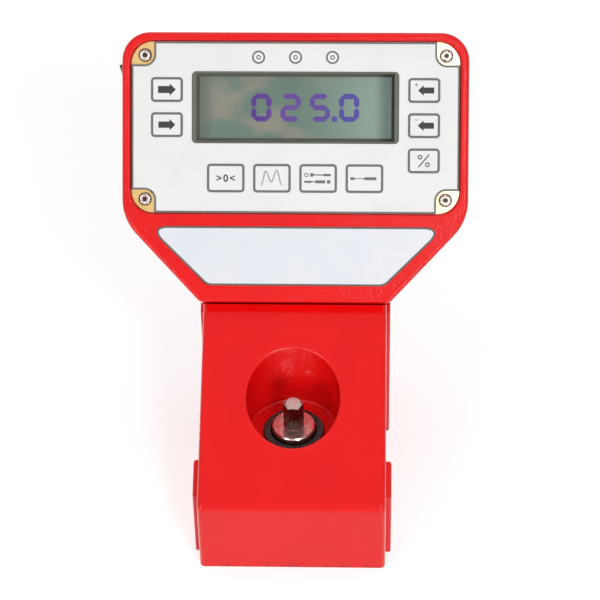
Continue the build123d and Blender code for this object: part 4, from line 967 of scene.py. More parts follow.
class Bench:
    """Modelling steps on the active object, as they are made by hand."""

    @staticmethod
    def clear() -> None:
        """Leave nothing selected, out of edit mode."""
        if bpy.context.object is not None and bpy.context.object.mode != "OBJECT":
            bpy.ops.object.mode_set(mode="OBJECT")
        bpy.ops.object.select_all(action="DESELECT")

    @staticmethod
    def edit() -> None:
        """Go into edit mode with everything selected."""
        bpy.ops.object.mode_set(mode="EDIT")
        bpy.ops.mesh.select_all(action="SELECT")

    @staticmethod
    def leave() -> bpy.types.Object:
        """Go back to object mode and give the active object."""
        bpy.ops.object.mode_set(mode="OBJECT")
        return bpy.context.object

    @staticmethod
    def pick_faces(test: Callable[[bpy.types.MeshPolygon], bool]) -> None:
        """Select faces of the active mesh by a test, in edit mode.

        Args:
            test: Says whether a face is picked.
        """
        bpy.ops.mesh.select_mode(type="FACE")
        bpy.ops.mesh.select_all(action="DESELECT")
        bpy.ops.object.mode_set(mode="OBJECT")
        for polygon in bpy.context.object.data.polygons:
            polygon.select = test(polygon)
        bpy.ops.object.mode_set(mode="EDIT")

    @staticmethod
    def pick_edges(test: Callable[[Vector, Vector], bool]) -> None:
        """Select edges of the active mesh by their two ends, in edit mode.

        Args:
            test: Says whether an edge is picked, from its two ends.
        """
        bpy.ops.mesh.select_mode(type="EDGE")
        bpy.ops.mesh.select_all(action="DESELECT")
        bpy.ops.object.mode_set(mode="OBJECT")
        mesh = bpy.context.object.data
        for edge in mesh.edges:
            first, second = (mesh.vertices[index].co for index in edge.vertices)
            edge.select = test(first, second)
        bpy.ops.object.mode_set(mode="EDIT")

    @staticmethod
    def rectangle(width: float, height: float, middle: tuple[float, float] = (0, 0)) -> None:
        """Add a flat rectangle and stay in edit mode.

        Args:
            width: Its size along X.
            height: Its size along Y.
            middle: Its place.
        """
        Bench.clear()
        bpy.ops.mesh.primitive_plane_add(size=1, location=(*middle, 0))
        Bench.edit()
        bpy.ops.transform.resize(value=(width, height, 1), center_override=(*middle, 0))

    @staticmethod
    def copy_of(node: str) -> bpy.types.Object:
        """Copy a CAD node's mesh as a start for a print, and stay in edit mode.

        Args:
            node: The node's name.

        Returns:
            The copy, in the object's own frame.
        """
        Bench.clear()
        source = frame["nodes"][node]
        source.select_set(True)
        bpy.context.view_layer.objects.active = source
        bpy.ops.object.duplicate()
        copy = bpy.context.object
        copy.parent = None
        for key in list(copy.keys()):
            del copy[key]
        Bench.edit()
        bpy.ops.mesh.remove_doubles(threshold=WELD)
        return copy

    @staticmethod
    def pick_level_edges(y: float) -> None:
        """Select only the edges of the drawing that lie level at a height."""
        Bench.pick_edges(lambda a, b: abs(a.y - y) < NEAR and abs(b.y - y) < NEAR)

    @staticmethod
    def round_corners(radius: float, steps: int = 6) -> None:
        """Round the corners of the flat shape being edited."""
        bpy.ops.mesh.bevel(offset=radius, offset_pct=0, segments=steps, affect="VERTICES")
        bpy.ops.mesh.select_all(action="SELECT")

    @staticmethod
    def hollow(line: float) -> None:
        """Leave only a rim of the flat shape being edited.

        Args:
            line: The rim's width.
        """
        bpy.ops.mesh.inset(thickness=line, depth=0)
        bpy.ops.mesh.delete(type="FACE")
        bpy.ops.mesh.select_all(action="SELECT")

    @staticmethod
    def thicken(height: float) -> None:
        """Give the flat shape being edited a thickness upwards.

        Args:
            height: The thickness.
        """
        bpy.ops.mesh.select_all(action="SELECT")
        bpy.ops.mesh.extrude_region_move(TRANSFORM_OT_translate={"value": (0, 0, height)})
        bpy.ops.mesh.select_all(action="SELECT")
        bpy.ops.mesh.normals_make_consistent(inside=False)

    @staticmethod
    def bar(
        width: float, height: float, middle: tuple[float, float] = (0, 0), turn: float = 0.0
    ) -> bpy.types.Object:
        """Draw a thin flat bar.

        Args:
            width: Its length.
            height: Its line width.
            middle: Its place.
            turn: Its angle in radians.

        Returns:
            The bar, standing on the flat drawing.
        """
        Bench.rectangle(width, height)
        Bench.thicken(INK)
        bar = Bench.leave()
        Bench.move_to(bar, Matrix.Translation((*middle, 0)) @ Matrix.Rotation(turn, 4, "Z"))
        return bar

    @staticmethod
    def ring(
        radius: float, line: float, middle: tuple[float, float] = (0, 0), height: float = INK
    ) -> bpy.types.Object:
        """Draw a flat ring.

        Args:
            radius: Its outer radius.
            line: Its line width.
            middle: Its place.
            height: Its thickness.

        Returns:
            The ring, standing on the flat drawing.
        """
        Bench.clear()
        bpy.ops.mesh.primitive_circle_add(vertices=32, radius=radius, fill_type="NGON", location=(*middle, 0))
        Bench.edit()
        Bench.hollow(line)
        Bench.thicken(height)
        ring = Bench.leave()
        Bench.move_to(ring, Matrix.Identity(4))
        return ring

    @staticmethod
    def move_to(piece: bpy.types.Object, matrix: Matrix) -> None:
        """Put a piece in its place and apply the place to its mesh.

        Args:
            piece: The piece, drawn flat about the origin.
            matrix: The transform that places it.
        """
        Bench.clear()
        piece.select_set(True)
        bpy.context.view_layer.objects.active = piece
        piece.matrix_world = matrix @ piece.matrix_world
        bpy.ops.object.transform_apply(location=True, rotation=True, scale=True)

    @staticmethod
    def join(pieces: Sequence[bpy.types.Object]) -> bpy.types.Object:
        """Join drawings into one piece.

        Args:
            pieces: The drawings.

        Returns:
            The joined piece.
        """
        Bench.clear()
        for piece in pieces:
            piece.select_set(True)
        bpy.context.view_layer.objects.active = pieces[0]
        bpy.ops.object.join()
        return bpy.context.object

    @staticmethod
    def hand_in(
        piece: bpy.types.Object, name: str, material: bpy.types.Material, slot: str, body: str
    ) -> bpy.types.Object:
        """Name a finished piece, dress it and let it ride.

        Args:
            piece: The piece.
            name: Its name.
            material: Its material.
            slot: The record's slot that the material stands for. Not used.
            body: The body it moves with.

        Returns:
            The piece.
        """
        piece.name = name
        piece.data.name = name
        piece.data.materials.clear()
        piece.data.materials.append(material)
        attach(piece, body)
        log.info("piece %s rides on %s, %d faces", name, body, len(piece.data.polygons))
        return piece


def dress(nodes: Sequence[str], material: bpy.types.Material) -> None:
    """Give CAD nodes a material.

    Args:
        nodes: The nodes' names.
        material: The material.
    """
    for name in nodes:
        node = frame["nodes"][name]
        for slot in node.material_slots:
            slot.material = material
        log.info("node %s wears %s", name, material.name)


@dataclass
class PhotoCamera:
    """The camera, at the photograph's viewing angle."""

    aim: Vector = field(default_factory=lambda: Vector((0.0022, 0.0558, 0.0898)))
    distance: float = 1.42
    azimuth: float = 2.37
    elevation: float = 41.49
    roll: float = -1.2
    lens: float = 146.67
    sensor: float = 36.0

    def build(self) -> None:
        """Make the camera and make it the scene's."""
        around = math.radians(self.azimuth)
        back = toward(self.azimuth, self.elevation)
        level = Vector((math.cos(around), math.sin(around), 0))
        upright = back.cross(level)
        turn = math.radians(self.roll)
        right = level * math.cos(turn) + upright * math.sin(turn)
        up = upright * math.cos(turn) - level * math.sin(turn)
        data = bpy.data.cameras.new("photo_camera")
        data.lens = self.lens
        data.sensor_width = self.sensor
        data.clip_start, data.clip_end = 0.05, 50.0
        camera = bpy.data.objects.new("photo_camera", data)
        bpy.context.scene.collection.objects.link(camera)
        facing = Matrix((right, up, back)).transposed().to_4x4()
        camera.matrix_world = Matrix.Translation(self.aim + back * self.distance) @ facing
        bpy.context.scene.camera = camera
        log.info("camera at %s", tuple(round(c, 3) for c in camera.location))


@dataclass(frozen=True)
class Lamp:
    """A rectangular soft lamp."""

    name: str
    azimuth: float
    elevation: float
    distance: float
    size: float
    power: float


@dataclass
class Studio:
    """Plain pale floor, soft lamps and a white surround."""

    floor_size: float = 12.0
    floor_colour: Colour = (0.50, 0.50, 0.50)
    floor_glow: float = 0.67
    floor_mirrored: float = 1.5
    fill: float = 0.43
    middle: Vector = field(default_factory=lambda: Vector((0, 0.02, 0.08)))
    lamps: tuple[Lamp, ...] = (
        Lamp("lamp_right", 23.0, 43.0, 1.6, 0.22, 5.5),
        Lamp("lamp_left", -36.0, 42.0, 1.7, 0.22, 2.2),
        Lamp("lamp_top", 175.0, 72.0, 1.6, 0.9, 3.8),
        Lamp("lamp_front_right", 20.0, 10.0, 1.6, 0.42, 6.8),
        Lamp("lamp_front_left", -38.0, 10.0, 1.6, 0.42, 4.4),
    )

    def build(self) -> None:
        """Make the floor, the lamps and the surround."""
        self._floor()
        for lamp in self.lamps:
            self._lamp(lamp)
        self._surround()

    def _floor(self) -> None:
        """Lay the floor just under the base."""
        Bench.clear()
        bpy.ops.mesh.primitive_plane_add(size=self.floor_size, location=(0, 0, -0.05 * MM))
        floor = bpy.context.object
        floor.name = "studio_floor"
        shader = Shader("studio_floor")
        seen = shader.node("ShaderNodeLightPath")
        direct = (seen.value("Is Camera Ray") + seen.value("Is Transmission Ray")) * self.floor_glow
        strength = seen.value("Is Glossy Ray") * self.floor_mirrored + direct
        shader.set(Base_Color=self.floor_colour, Roughness=0.9, Specular_IOR_Level=0.0)
        glow = shader.node("ShaderNodeEmission", None, {"Color": (1.0, 1.0, 1.0), "Strength": strength})
        both = shader.node("ShaderNodeAddShader")
        shader.tree.links.new(shader.surface.made.outputs[0], both.made.inputs[0])
        shader.tree.links.new(glow.made.outputs[0], both.made.inputs[1])
        shader.tree.links.new(both.made.outputs[0], shader.output.inputs["Surface"])
        floor.data.materials.append(shader.material)

    def _lamp(self, lamp: Lamp) -> None:
        """Hang one lamp, facing the object.

        Args:
            lamp: Its place, size and power.
        """
        away = toward(lamp.azimuth, lamp.elevation)
        data = bpy.data.lights.new(lamp.name, "AREA")
        data.energy = lamp.power
        data.size = lamp.size
        made = bpy.data.objects.new(lamp.name, data)
        bpy.context.scene.collection.objects.link(made)
        made.location = self.middle + away * lamp.distance
        made.rotation_mode = "QUATERNION"
        made.rotation_quaternion = away.to_track_quat("Z", "Y")

    def _surround(self) -> None:
        """Light the scene from all around, and show white to the camera and to mirrors."""
        world = bpy.data.worlds.new("studio_surround")
        world.use_nodes = True
        nodes, links = world.node_tree.nodes, world.node_tree.links
        nodes.clear()
        output = nodes.new("ShaderNodeOutputWorld")
        mixed = nodes.new("ShaderNodeMixShader")
        soft, white = nodes.new("ShaderNodeBackground"), nodes.new("ShaderNodeBackground")
        soft.inputs["Color"].default_value = (1, 1, 1, 1)
        soft.inputs["Strength"].default_value = self.fill
        white.inputs["Color"].default_value = (1, 1, 1, 1)
        white.inputs["Strength"].default_value = 1.0
        path = nodes.new("ShaderNodeLightPath")
        first, second = nodes.new("ShaderNodeMath"), nodes.new("ShaderNodeMath")
        first.operation = second.operation = "MAXIMUM"
        links.new(path.outputs["Is Camera Ray"], first.inputs[0])
        links.new(path.outputs["Is Glossy Ray"], first.inputs[1])
        links.new(first.outputs[0], second.inputs[0])
        links.new(path.outputs["Is Transmission Ray"], second.inputs[1])
        links.new(second.outputs[0], mixed.inputs[0])
        links.new(soft.outputs[0], mixed.inputs[1])
        links.new(white.outputs[0], mixed.inputs[2])
        links.new(mixed.outputs[0], output.inputs["Surface"])
        bpy.context.scene.world = world


class Legend(Enum):
    """What is printed on a key."""

    ARROW_UPPER = "arrow_upper"
    ARROW_LOWER = "arrow_lower"
    ARROW_LEFT_PLUS = "arrow_left_plus"
    ARROW_LEFT_MINUS = "arrow_left_minus"
    PERCENT = "percent"
    ZERO = "zero"
    PEAK = "peak"
    WRENCH = "wrench"
    DRIVER = "driver"


@dataclass(frozen=True)
class Arrow:
    """The sizes of a solid arrow."""

    length: float
    shaft: float
    reach: float
    spread: float


@dataclass(frozen=True)
class RimPrint:
    """A printed line that follows the outline of a flat CAD node in the head's plane."""

    plane: HeadPlane
    node: str
    line: float
    thickness: float = INK
    skin: float = 0.05 * MM

    def build(self, name: str, ink: bpy.types.Material, slot: str, corner: float = 0.0) -> None:
        """Print the line.

        Args:
            name: The print's name.
            ink: Its material.
            slot: The record's slot that the material stands for.
            corner: How far from a corner the outline may turn in. At 0 every outline is followed.
        """
        out, right, up = self.plane.out, self.plane.right, self.plane.up
        face = self.plane.face(self.node)
        rim = Bench.copy_of(self.node)
        Bench.pick_faces(lambda p: p.normal.dot(out) < 0.99 or p.center.dot(out) < face.lift - self.skin)
        bpy.ops.mesh.delete(type="FACE")
        bpy.ops.mesh.select_all(action="SELECT")
        bpy.ops.mesh.inset(thickness=self.line, depth=0)
        bpy.ops.mesh.delete(type="FACE")

        def is_rim(point: Vector) -> bool:
            """Say whether a point is on the outer line and not on a window's."""
            u = face.width / 2 - abs(point.dot(right) - face.u)
            v = face.height / 2 - abs(point.dot(up) - face.v)
            return min(u, v) < self.line or max(u, v) < corner

        if corner > 0:
            Bench.pick_faces(lambda p: not is_rim(p.center))
            bpy.ops.mesh.delete(type="FACE")
        bpy.ops.mesh.select_all(action="SELECT")
        bpy.ops.mesh.extrude_region_move(TRANSFORM_OT_translate={"value": tuple(out * self.thickness)})
        bpy.ops.mesh.select_all(action="SELECT")
        bpy.ops.mesh.normals_make_consistent(inside=False)
        Bench.leave()
        Bench.hand_in(rim, name, ink, slot, INSTRUMENT)


@dataclass
class Keypad:
    """The membrane keypad: overlay, keys, their printed outlines and legends."""

    plane: HeadPlane
    line: float = 1.15 * MM
    key_line: float = 1.3 * MM
    corner: float = 2.0 * MM
    ink: float = INK
    slot: float = 0.18 * MM
    floor_line: float = 1.6 * MM
    bold: float = 0.13 * MM
    overlap: float = 0.12 * MM
    peak_line: float = 0.75 * MM
    border_corner: float = 15 * MM
    arrow_shift: float = 1.06 * MM
    zero_size: float = 5.7 * MM
    zero_drop: float = 0.3 * MM
    sign_length: float = 1.9 * MM
    sign_line: float = 0.4 * MM
    sign_place: tuple[float, float] = (-4.5 * MM, 3.2 * MM)
    percent_offset: float = 2.1 * MM
    percent_radius: float = 1.4 * MM
    percent_line: float = 0.75 * MM
    percent_stroke: tuple[float, float] = (9.2 * MM, 0.8 * MM)
    percent_slope: float = math.radians(50)
    peak_steps: int = 72
    peaks: tuple[tuple[float, float], ...] = (
        (-6.15 * MM, -4.0 * MM), (-3.5 * MM, 4.0 * MM), (-0.35 * MM, -2.05 * MM),
        (2.7 * MM, 4.45 * MM), (5.65 * MM, -3.8 * MM),
    )
    legends: tuple[tuple[str, Legend], ...] = (
        ("key_left_upper", Legend.ARROW_UPPER),
        ("key_left_lower", Legend.ARROW_LOWER),
        ("key_right_upper", Legend.ARROW_LEFT_PLUS),
        ("key_right_lower", Legend.ARROW_LEFT_MINUS),
        ("key_percent", Legend.PERCENT),
        ("key_zero", Legend.ZERO),
        ("key_peak", Legend.PEAK),
        ("key_wrench", Legend.WRENCH),
        ("key_driver", Legend.DRIVER),
    )

    def build(self) -> None:
        """Dress the sheets and print the outlines and legends."""
        sheet = PrintedSheet("keypad_sheet").material()
        dress(["membrane_overlay", "spacer_layer", *(key for key, _ in self.legends)], sheet)
        dress(["key_domes"], PlainMetal("dome_steel", (0.72, 0.72, 0.72), roughness=0.18).material())
        self.grey = Ink("keypad_sheet", linear(108, 109, 108), linear(122, 123, 122)).material("_grey_ink")
        self.rim = Ink("keypad_sheet", linear(112, 113, 111), linear(128, 129, 127)).material("_rim_ink")
        self.dark = Ink("keypad_sheet", linear(58, 58, 62), linear(74, 74, 78)).material("_dark_ink")
        self.pale = Ink("keypad_sheet", linear(158, 158, 158), linear(184, 184, 184)).material("_pale_ink")
        for key, legend in self.legends:
            self._outline(key)
            self._legend(key, legend)
        self._window_floors(sheet)
        RimPrint(self.plane, "membrane_overlay", self.line).build(
            "overlay_border", self.rim, "keypad_sheet", corner=self.border_corner
        )

    def _lay(self, piece: bpy.types.Object, key: str, face: Face, name: str, ink: bpy.types.Material) -> None:
        """Lay a flat print on a key.

        Args:
            piece: The print, drawn flat about the origin.
            key: The key's name, which is also its body's.
            face: The key's outer face.
            name: The print's name.
            ink: Its material.
        """
        Bench.move_to(piece, self.plane.matrix(face.u, face.v, face.lift))
        Bench.hand_in(piece, name, ink, "keypad_sheet", key)

    def _outline(self, key: str) -> None:
        """Print the rounded outline along a key's edge.

        Args:
            key: The key's name.
        """
        face = self.plane.face(key)
        Bench.rectangle(face.width + 2 * self.overlap, face.height + 2 * self.overlap)
        Bench.round_corners(self.corner + self.overlap)
        Bench.hollow(self.key_line)
        Bench.thicken(self.ink)
        self._lay(Bench.leave(), key, face, f"{key}_outline", self.grey)

    def _window_floors(self, sheet: bpy.types.Material) -> None:
        """Lay the pale carrier sheet under the slots round the keys.

        Args:
            sheet: The sheet's material.
        """
        seat = self.plane.face("panel_plate").lift
        strips = []
        for key, _ in self.legends:
            face = self.plane.face(key)
            Bench.rectangle(face.width + 2 * self.slot, face.height + 2 * self.slot)
            Bench.round_corners(self.corner)
            Bench.hollow(self.floor_line)
            Bench.thicken(self.ink)
            strip = Bench.leave()
            Bench.move_to(strip, self.plane.matrix(face.u, face.v, seat))
            strips.append(strip)
        Bench.hand_in(Bench.join(strips), "key_slot_floors", sheet, "keypad_sheet", INSTRUMENT)

    def _legend(self, key: str, legend: Legend) -> None:
        """Print a key's legend.

        Args:
            key: The key's name.
            legend: What it shows.
        """
        face = self.plane.face(key)
        small = Arrow(9.1 * MM, 3.4 * MM, 3.2 * MM, 6.0 * MM)
        draw = {
            Legend.ARROW_UPPER: lambda: self._arrow(Arrow(10.1 * MM, 4.0 * MM, 3.5 * MM, 7.0 * MM), 1, 0),
            Legend.ARROW_LOWER: lambda: self._arrow(Arrow(9.6 * MM, 3.6 * MM, 3.3 * MM, 6.5 * MM), 1, 0),
            Legend.ARROW_LEFT_PLUS: lambda: self._arrow(small, -1, self.arrow_shift),
            Legend.ARROW_LEFT_MINUS: lambda: self._arrow(small, -1, self.arrow_shift),
            Legend.PERCENT: self._percent,
            Legend.ZERO: lambda: self._text(">0<", self.zero_size, (0, -self.zero_drop)),
            Legend.PEAK: self._peaks,
            Legend.WRENCH: self._wrenches,
            Legend.DRIVER: self._driver,
        }[legend]
        ink = self.dark
        if legend is Legend.PEAK:
            ink = self.pale
        elif legend in (Legend.PERCENT, Legend.WRENCH, Legend.DRIVER):
            ink = self.grey
        self._lay(draw(), key, face, f"{key}_legend", ink)
        if legend in (Legend.ARROW_LEFT_PLUS, Legend.ARROW_LEFT_MINUS):
            sign = self._sign(legend is Legend.ARROW_LEFT_PLUS)
            self._lay(sign, key, face, f"{key}_sign", self.grey)

    def _arrow(self, size: Arrow, way: int, shift: float) -> bpy.types.Object:
        """Draw a solid arrow.

        Args:
            size: Its sizes.
            way: 1 to point right, -1 to point left.
            shift: How far it stands to the right of the key's middle.

        Returns:
            The arrow, flat about the origin.
        """
        length, height, reach, spread = size.length - size.reach, size.shaft, size.reach, size.spread
        Bench.rectangle(length, height, (-reach / 2, 0))
        root = (length - reach) / 2
        Bench.pick_edges(lambda a, b: a.x > -reach / 2 and b.x > -reach / 2)
        bpy.ops.mesh.extrude_region_move()
        bpy.ops.transform.resize(value=(1, spread / height, 1), center_override=(root, 0, 0))
        bpy.ops.mesh.extrude_region_move(TRANSFORM_OT_translate={"value": (reach, 0, 0)})
        bpy.ops.transform.resize(value=(1, 0, 1), center_override=(root + reach, 0, 0))
        bpy.ops.mesh.select_all(action="SELECT")
        bpy.ops.mesh.remove_doubles(threshold=WELD)
        Bench.thicken(self.ink)
        if way < 0:
            bpy.ops.transform.resize(value=(-1, 1, 1), center_override=(0, 0, 0))
            bpy.ops.mesh.normals_make_consistent(inside=False)
        bpy.ops.transform.translate(value=(shift, 0, 0))
        return Bench.leave()

    def _sign(self, plus: bool) -> bpy.types.Object:
        """Draw the small plus or minus at a key's upper left.

        Args:
            plus: Whether it is a plus.

        Returns:
            The sign, flat about the origin.
        """
        bars = [Bench.bar(self.sign_length, self.sign_line, self.sign_place)]
        if plus:
            bars.append(Bench.bar(self.sign_length, self.sign_line, self.sign_place, math.pi / 2))
        return Bench.join(bars)

    def _text(self, words: str, size: float, middle: tuple[float, float]) -> bpy.types.Object:
        """Set characters as a thin solid print.

        Args:
            words: The characters.
            size: Their font size.
            middle: Their place.

        Returns:
            The print, flat about the origin.
        """
        Bench.clear()
        bpy.ops.object.text_add(location=(*middle, 0))
        text = bpy.context.object
        text.data.body = words
        text.data.size = size
        text.data.align_x = "CENTER"
        text.data.align_y = "CENTER"
        text.data.extrude = self.ink / 2
        text.data.space_character = 1.25
        text.data.offset = self.bold
        bpy.ops.object.convert(target="MESH")
        text = bpy.context.object
        Bench.move_to(text, Matrix.Translation((0, 0, self.ink / 2)))
        return text

    def _percent(self) -> bpy.types.Object:
        """Draw the per cent sign from two rings and a stroke."""
        offset = self.percent_offset
        rings = [
            Bench.ring(self.percent_radius, self.percent_line, (-side * offset, side * offset))
            for side in (1, -1)
        ]
        stroke = Bench.bar(*self.percent_stroke, (0, 0), self.percent_slope)
        return Bench.join([*rings, stroke])

    def _peaks(self) -> bpy.types.Object:
        """Draw the curve with two rounded peaks."""
        Bench.clear()
        start, end = self.peaks[0][0], self.peaks[-1][0]
        bpy.ops.mesh.primitive_grid_add(x_subdivisions=self.peak_steps, y_subdivisions=1, size=1)
        curve = bpy.context.object
        for vertex in curve.data.vertices:
            x = start + (vertex.co.x + 0.5) * (end - start)
            slope = (self._wave(x + NEAR) - self._wave(x - NEAR)) / (2 * NEAR)
            side = math.copysign(self.peak_line / 2, vertex.co.y)
            vertex.co = Vector((x, self._wave(x), 0)) + Vector((-slope, 1, 0)).normalized() * side
        Bench.edit()
        Bench.thicken(self.ink)
        return Bench.leave()

    def _wave(self, x: float) -> float:
        """Give the height of the curve with two peaks.

        Args:
            x: The place along it.

        Returns:
            The height, on half cosines between its turning points.
        """
        for (x0, y0), (x1, y1) in zip(self.peaks, self.peaks[1:]):
            if x <= x1:
                share = (1 - math.cos(math.pi * max(0.0, x - x0) / (x1 - x0))) / 2
                return y0 + (y1 - y0) * share
        return self.peaks[-1][1]

    def _wrenches(self) -> bpy.types.Object:
        """Draw a ring wrench above and a socket wrench below."""
        high, low = 1.98 * MM, -1.9 * MM
        ring = Bench.ring(1.25 * MM, 0.5 * MM, (-6.65 * MM, high))
        neck = Bench.bar(1.9 * MM, 1.9 * MM, (-3.6 * MM, high))
        shaft = Bench.bar(5.7 * MM, 0.65 * MM, (0.15 * MM, high))
        grip = Bench.bar(4.2 * MM, 1.3 * MM, (5.05 * MM, high))
        ring_wrench = [ring, neck, shaft, grip]
        grip = Bench.bar(4.05 * MM, 1.2 * MM, (-5.78 * MM, low))
        shaft = Bench.bar(2.2 * MM, 0.6 * MM, (-2.65 * MM, low))
        body = Bench.bar(5.6 * MM, 1.7 * MM, (1.2 * MM, low))
        socket = Bench.bar(1.9 * MM, 1.9 * MM, (6.0 * MM, low))
        return Bench.join([*ring_wrench, grip, shaft, body, socket])

    def _driver(self) -> bpy.types.Object:
        """Draw a torque screwdriver."""
        head = Bench.bar(2.3 * MM, 1.6 * MM, (-6.8 * MM, 0))
        blade = Bench.bar(5.8 * MM, 0.5 * MM, (-2.8 * MM, 0))
        grip = Bench.bar(6.8 * MM, 1.65 * MM, (3.4 * MM, 0))
        return Bench.join([head, blade, grip])


@dataclass
class Display:
    """The liquid crystal display with its frame, window and a plain reading."""

    plane: HeadPlane
    digit_height: float = 15.8 * MM
    digit_width: float = 11.5 * MM
    stroke: float = 3.0 * MM
    gap: float = 0.2 * MM
    pitch: float = 16.6 * MM
    shift: float = 5.5 * MM
    reading: str = "025.0"
    point_corner: float = 0.5 * MM

    def build(self) -> None:
        """Dress the display's pieces and draw the reading."""
        dress(["lcd_glass"], LiquidCrystal("display_glass").material())
        top = self.plane.face("lcd_bezel")
        dress(["lcd_bezel"], DisplayFrame("frame_grey", self.plane.out, top.lift, top.width / 2).material())
        dress(["display_window"], ClearFilm("window_film").material())
        guide = Moulded("light_guide", (0.85, 0.88, 0.8), (0.8, 0.82, 0.76), 0.2, coat=0.5)
        dress(["lcd_backlight"], guide.material())
        dress(["lcd_board", "main_board"], CircuitBoard("circuit_board").material())
        brass = PlainMetal("brass", (0.75, 0.55, 0.22))
        dress(["lcd_spacers", "board_standoffs", "switch_tags"], brass.material())
        self._reading()

    def _segment(self, length: float) -> bpy.types.Object:
        """Draw one upright segment with pointed ends.

        Args:
            length: Its length.

        Returns:
            The segment, flat about the origin.
        """
        Bench.rectangle(self.stroke, length - self.stroke)
        for side in (-1, 1):
            end = side * (length - self.stroke) / 2
            Bench.pick_level_edges(end)
            bpy.ops.mesh.extrude_region_move(TRANSFORM_OT_translate={"value": (0, side * self.stroke / 2, 0)})
            bpy.ops.transform.resize(value=(0.12, 1, 1), center_override=(0, end + side * self.stroke / 2, 0))
        Bench.thicken(INK)
        return Bench.leave()

    def _digit(self, lit: str) -> list[bpy.types.Object]:
        """Draw a digit from its segments.

        Args:
            lit: The letters of the segments that are on, from a at the top to g in the middle.

        Returns:
            The segments in place about the digit's middle.
        """
        half = self.digit_height / 2
        side = (self.digit_width - self.stroke) / 2
        upright, level = half - self.stroke / 2 - self.gap, self.digit_width - self.stroke - self.gap
        middle = (half - self.stroke / 2) / 2
        top = half - self.stroke / 2
        places = {
            "a": (0, top, level, True), "g": (0, 0, level, True), "d": (0, -top, level, True),
            "f": (-side, middle, upright, False), "b": (side, middle, upright, False),
            "e": (-side, -middle, upright, False), "c": (side, -middle, upright, False),
        }
        made = []
        for letter in lit:
            x, y, length, flat = places[letter]
            segment = self._segment(length)
            turn = math.pi / 2 if flat else 0.0
            Bench.move_to(segment, Matrix.Translation((x, y, 0)) @ Matrix.Rotation(turn, 4, "Z"))
            made.append(segment)
        return made

    def _reading(self) -> None:
        """Draw the reading on the display glass."""
        lit = {"0": "abcdef", "2": "abged", "5": "afgcd"}
        face = self.plane.face("lcd_glass")
        pieces = []
        cells = sum(1 for mark in self.reading if mark != ".")
        place = -(cells - 1) * self.pitch / 2
        for mark in self.reading:
            if mark == ".":
                Bench.rectangle(self.stroke, self.stroke)
                Bench.round_corners(self.point_corner, 3)
                Bench.thicken(INK)
                dot = [Bench.leave()]
                drop = (self.stroke - self.digit_height) / 2
                Bench.move_to(dot[0], Matrix.Translation((place - self.pitch / 2, drop, 0)))
                pieces += dot
                continue
            for segment in self._digit(lit[mark]):
                Bench.move_to(segment, Matrix.Translation((place, 0, 0)))
                pieces.append(segment)
            place += self.pitch
        reading = Bench.join(pieces)
        Bench.move_to(reading, self.plane.matrix(face.u + self.shift, face.v, face.lift))
        material = DisplaySegments("display_glass").material("_segments")
        Bench.hand_in(reading, "display_reading", material, "display_glass", INSTRUMENT)


@dataclass
class Lamps:
    """The three indicator lamps and their printed rings."""

    plane: HeadPlane
    keypad: Keypad
    ring: float = 3.75 * MM
    line: float = 1.05 * MM
    dot: float = 1.5 * MM
    dot_line: float = 0.95 * MM

    def build(self) -> None:
        """Dress the lamps and print a ring round each window."""
        dress(["leds"], LampResin("lamp_resin").material())
        film = PrintedSheet("window_film", linear(240, 240, 238), linear(232, 232, 230))
        dress(["led_windows"], film.material())
        dot_ink = Ink("window_film", linear(150, 150, 148), linear(176, 176, 174)).material("_lamp_dot")
        windows = self.plane.face("led_windows")
        pitch = (windows.width - windows.height) / 2
        for name, side in (("left", -1), ("middle", 0), ("right", 1)):
            place = self.plane.matrix(windows.u + side * pitch, windows.v, windows.lift)
            ring = Bench.ring(self.ring, self.line, (0, 0))
            Bench.move_to(ring, place)
            Bench.hand_in(ring, f"lamp_ring_{name}", self.keypad.grey, "keypad_sheet", INSTRUMENT)
            dot = Bench.ring(self.dot, self.dot_line, (0, 0))
            Bench.move_to(dot, place)
            Bench.hand_in(dot, f"lamp_dot_{name}", dot_ink, "window_film", INSTRUMENT)


@dataclass
class Casings:
    """The red castings, the panel plate and the hardware of the two housings."""

    plane: HeadPlane
    well_radius: float = 26.4 * MM
    base_peel: float = 0.8 * MM
    base_peel_depth: float = 0.014 * MM

    def build(self) -> None:
        """Dress the castings and their hardware."""
        low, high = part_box("drive_spindle")
        smooth = Enamel(
            "red_paint",
            peel=self.base_peel,
            peel_depth=self.base_peel_depth,
            well_y=(low.y + high.y) / 2,
            well_radius=self.well_radius,
        )
        dress(["base_housing"], smooth.material("_base"))
        dress(["head_housing", "head_rear_cover"], Enamel("red_paint").material("_head"))
        dress(["panel_plate"], Chromate("yellow_chromate").material())
        screws = PlainMetal("screw_steel", (0.62, 0.58, 0.55), (0.42, 0.36, 0.32), 0.6, 0.24)
        dress(
            ["base_plate_screws", "rear_cover_screws", "lcd_screws", "board_screws",
             "dc_socket_nut", "serial_posts"],
            screws.material(),
        )
        seat = self.plane.face("panel_plate").lift
        crown = self.plane.face("panel_screws").lift
        domes = DomeScrew("screw_steel", self.plane.out, seat, crown - seat)
        dress(["panel_screws"], domes.material("_dome"))
        dress(["base_plate"], PlainMetal("plate_aluminium", (0.62, 0.63, 0.64), roughness=0.38).material())
        rubber = Moulded("black_rubber", (0.022, 0.022, 0.022), roughness=0.6, grain_depth=0.01 * MM)
        dress(["head_gasket", "cable_grommet"], rubber.material())
        dress(["transducer_lead"], Moulded("lead_jacket", (0.05, 0.05, 0.05), roughness=0.5).material())
        oxide = PlainMetal("black_steel", (0.05, 0.045, 0.045), (0.03, 0.028, 0.028), 0.6, 0.36)
        dress(["flange_screws", "head_bolts"], oxide.material())


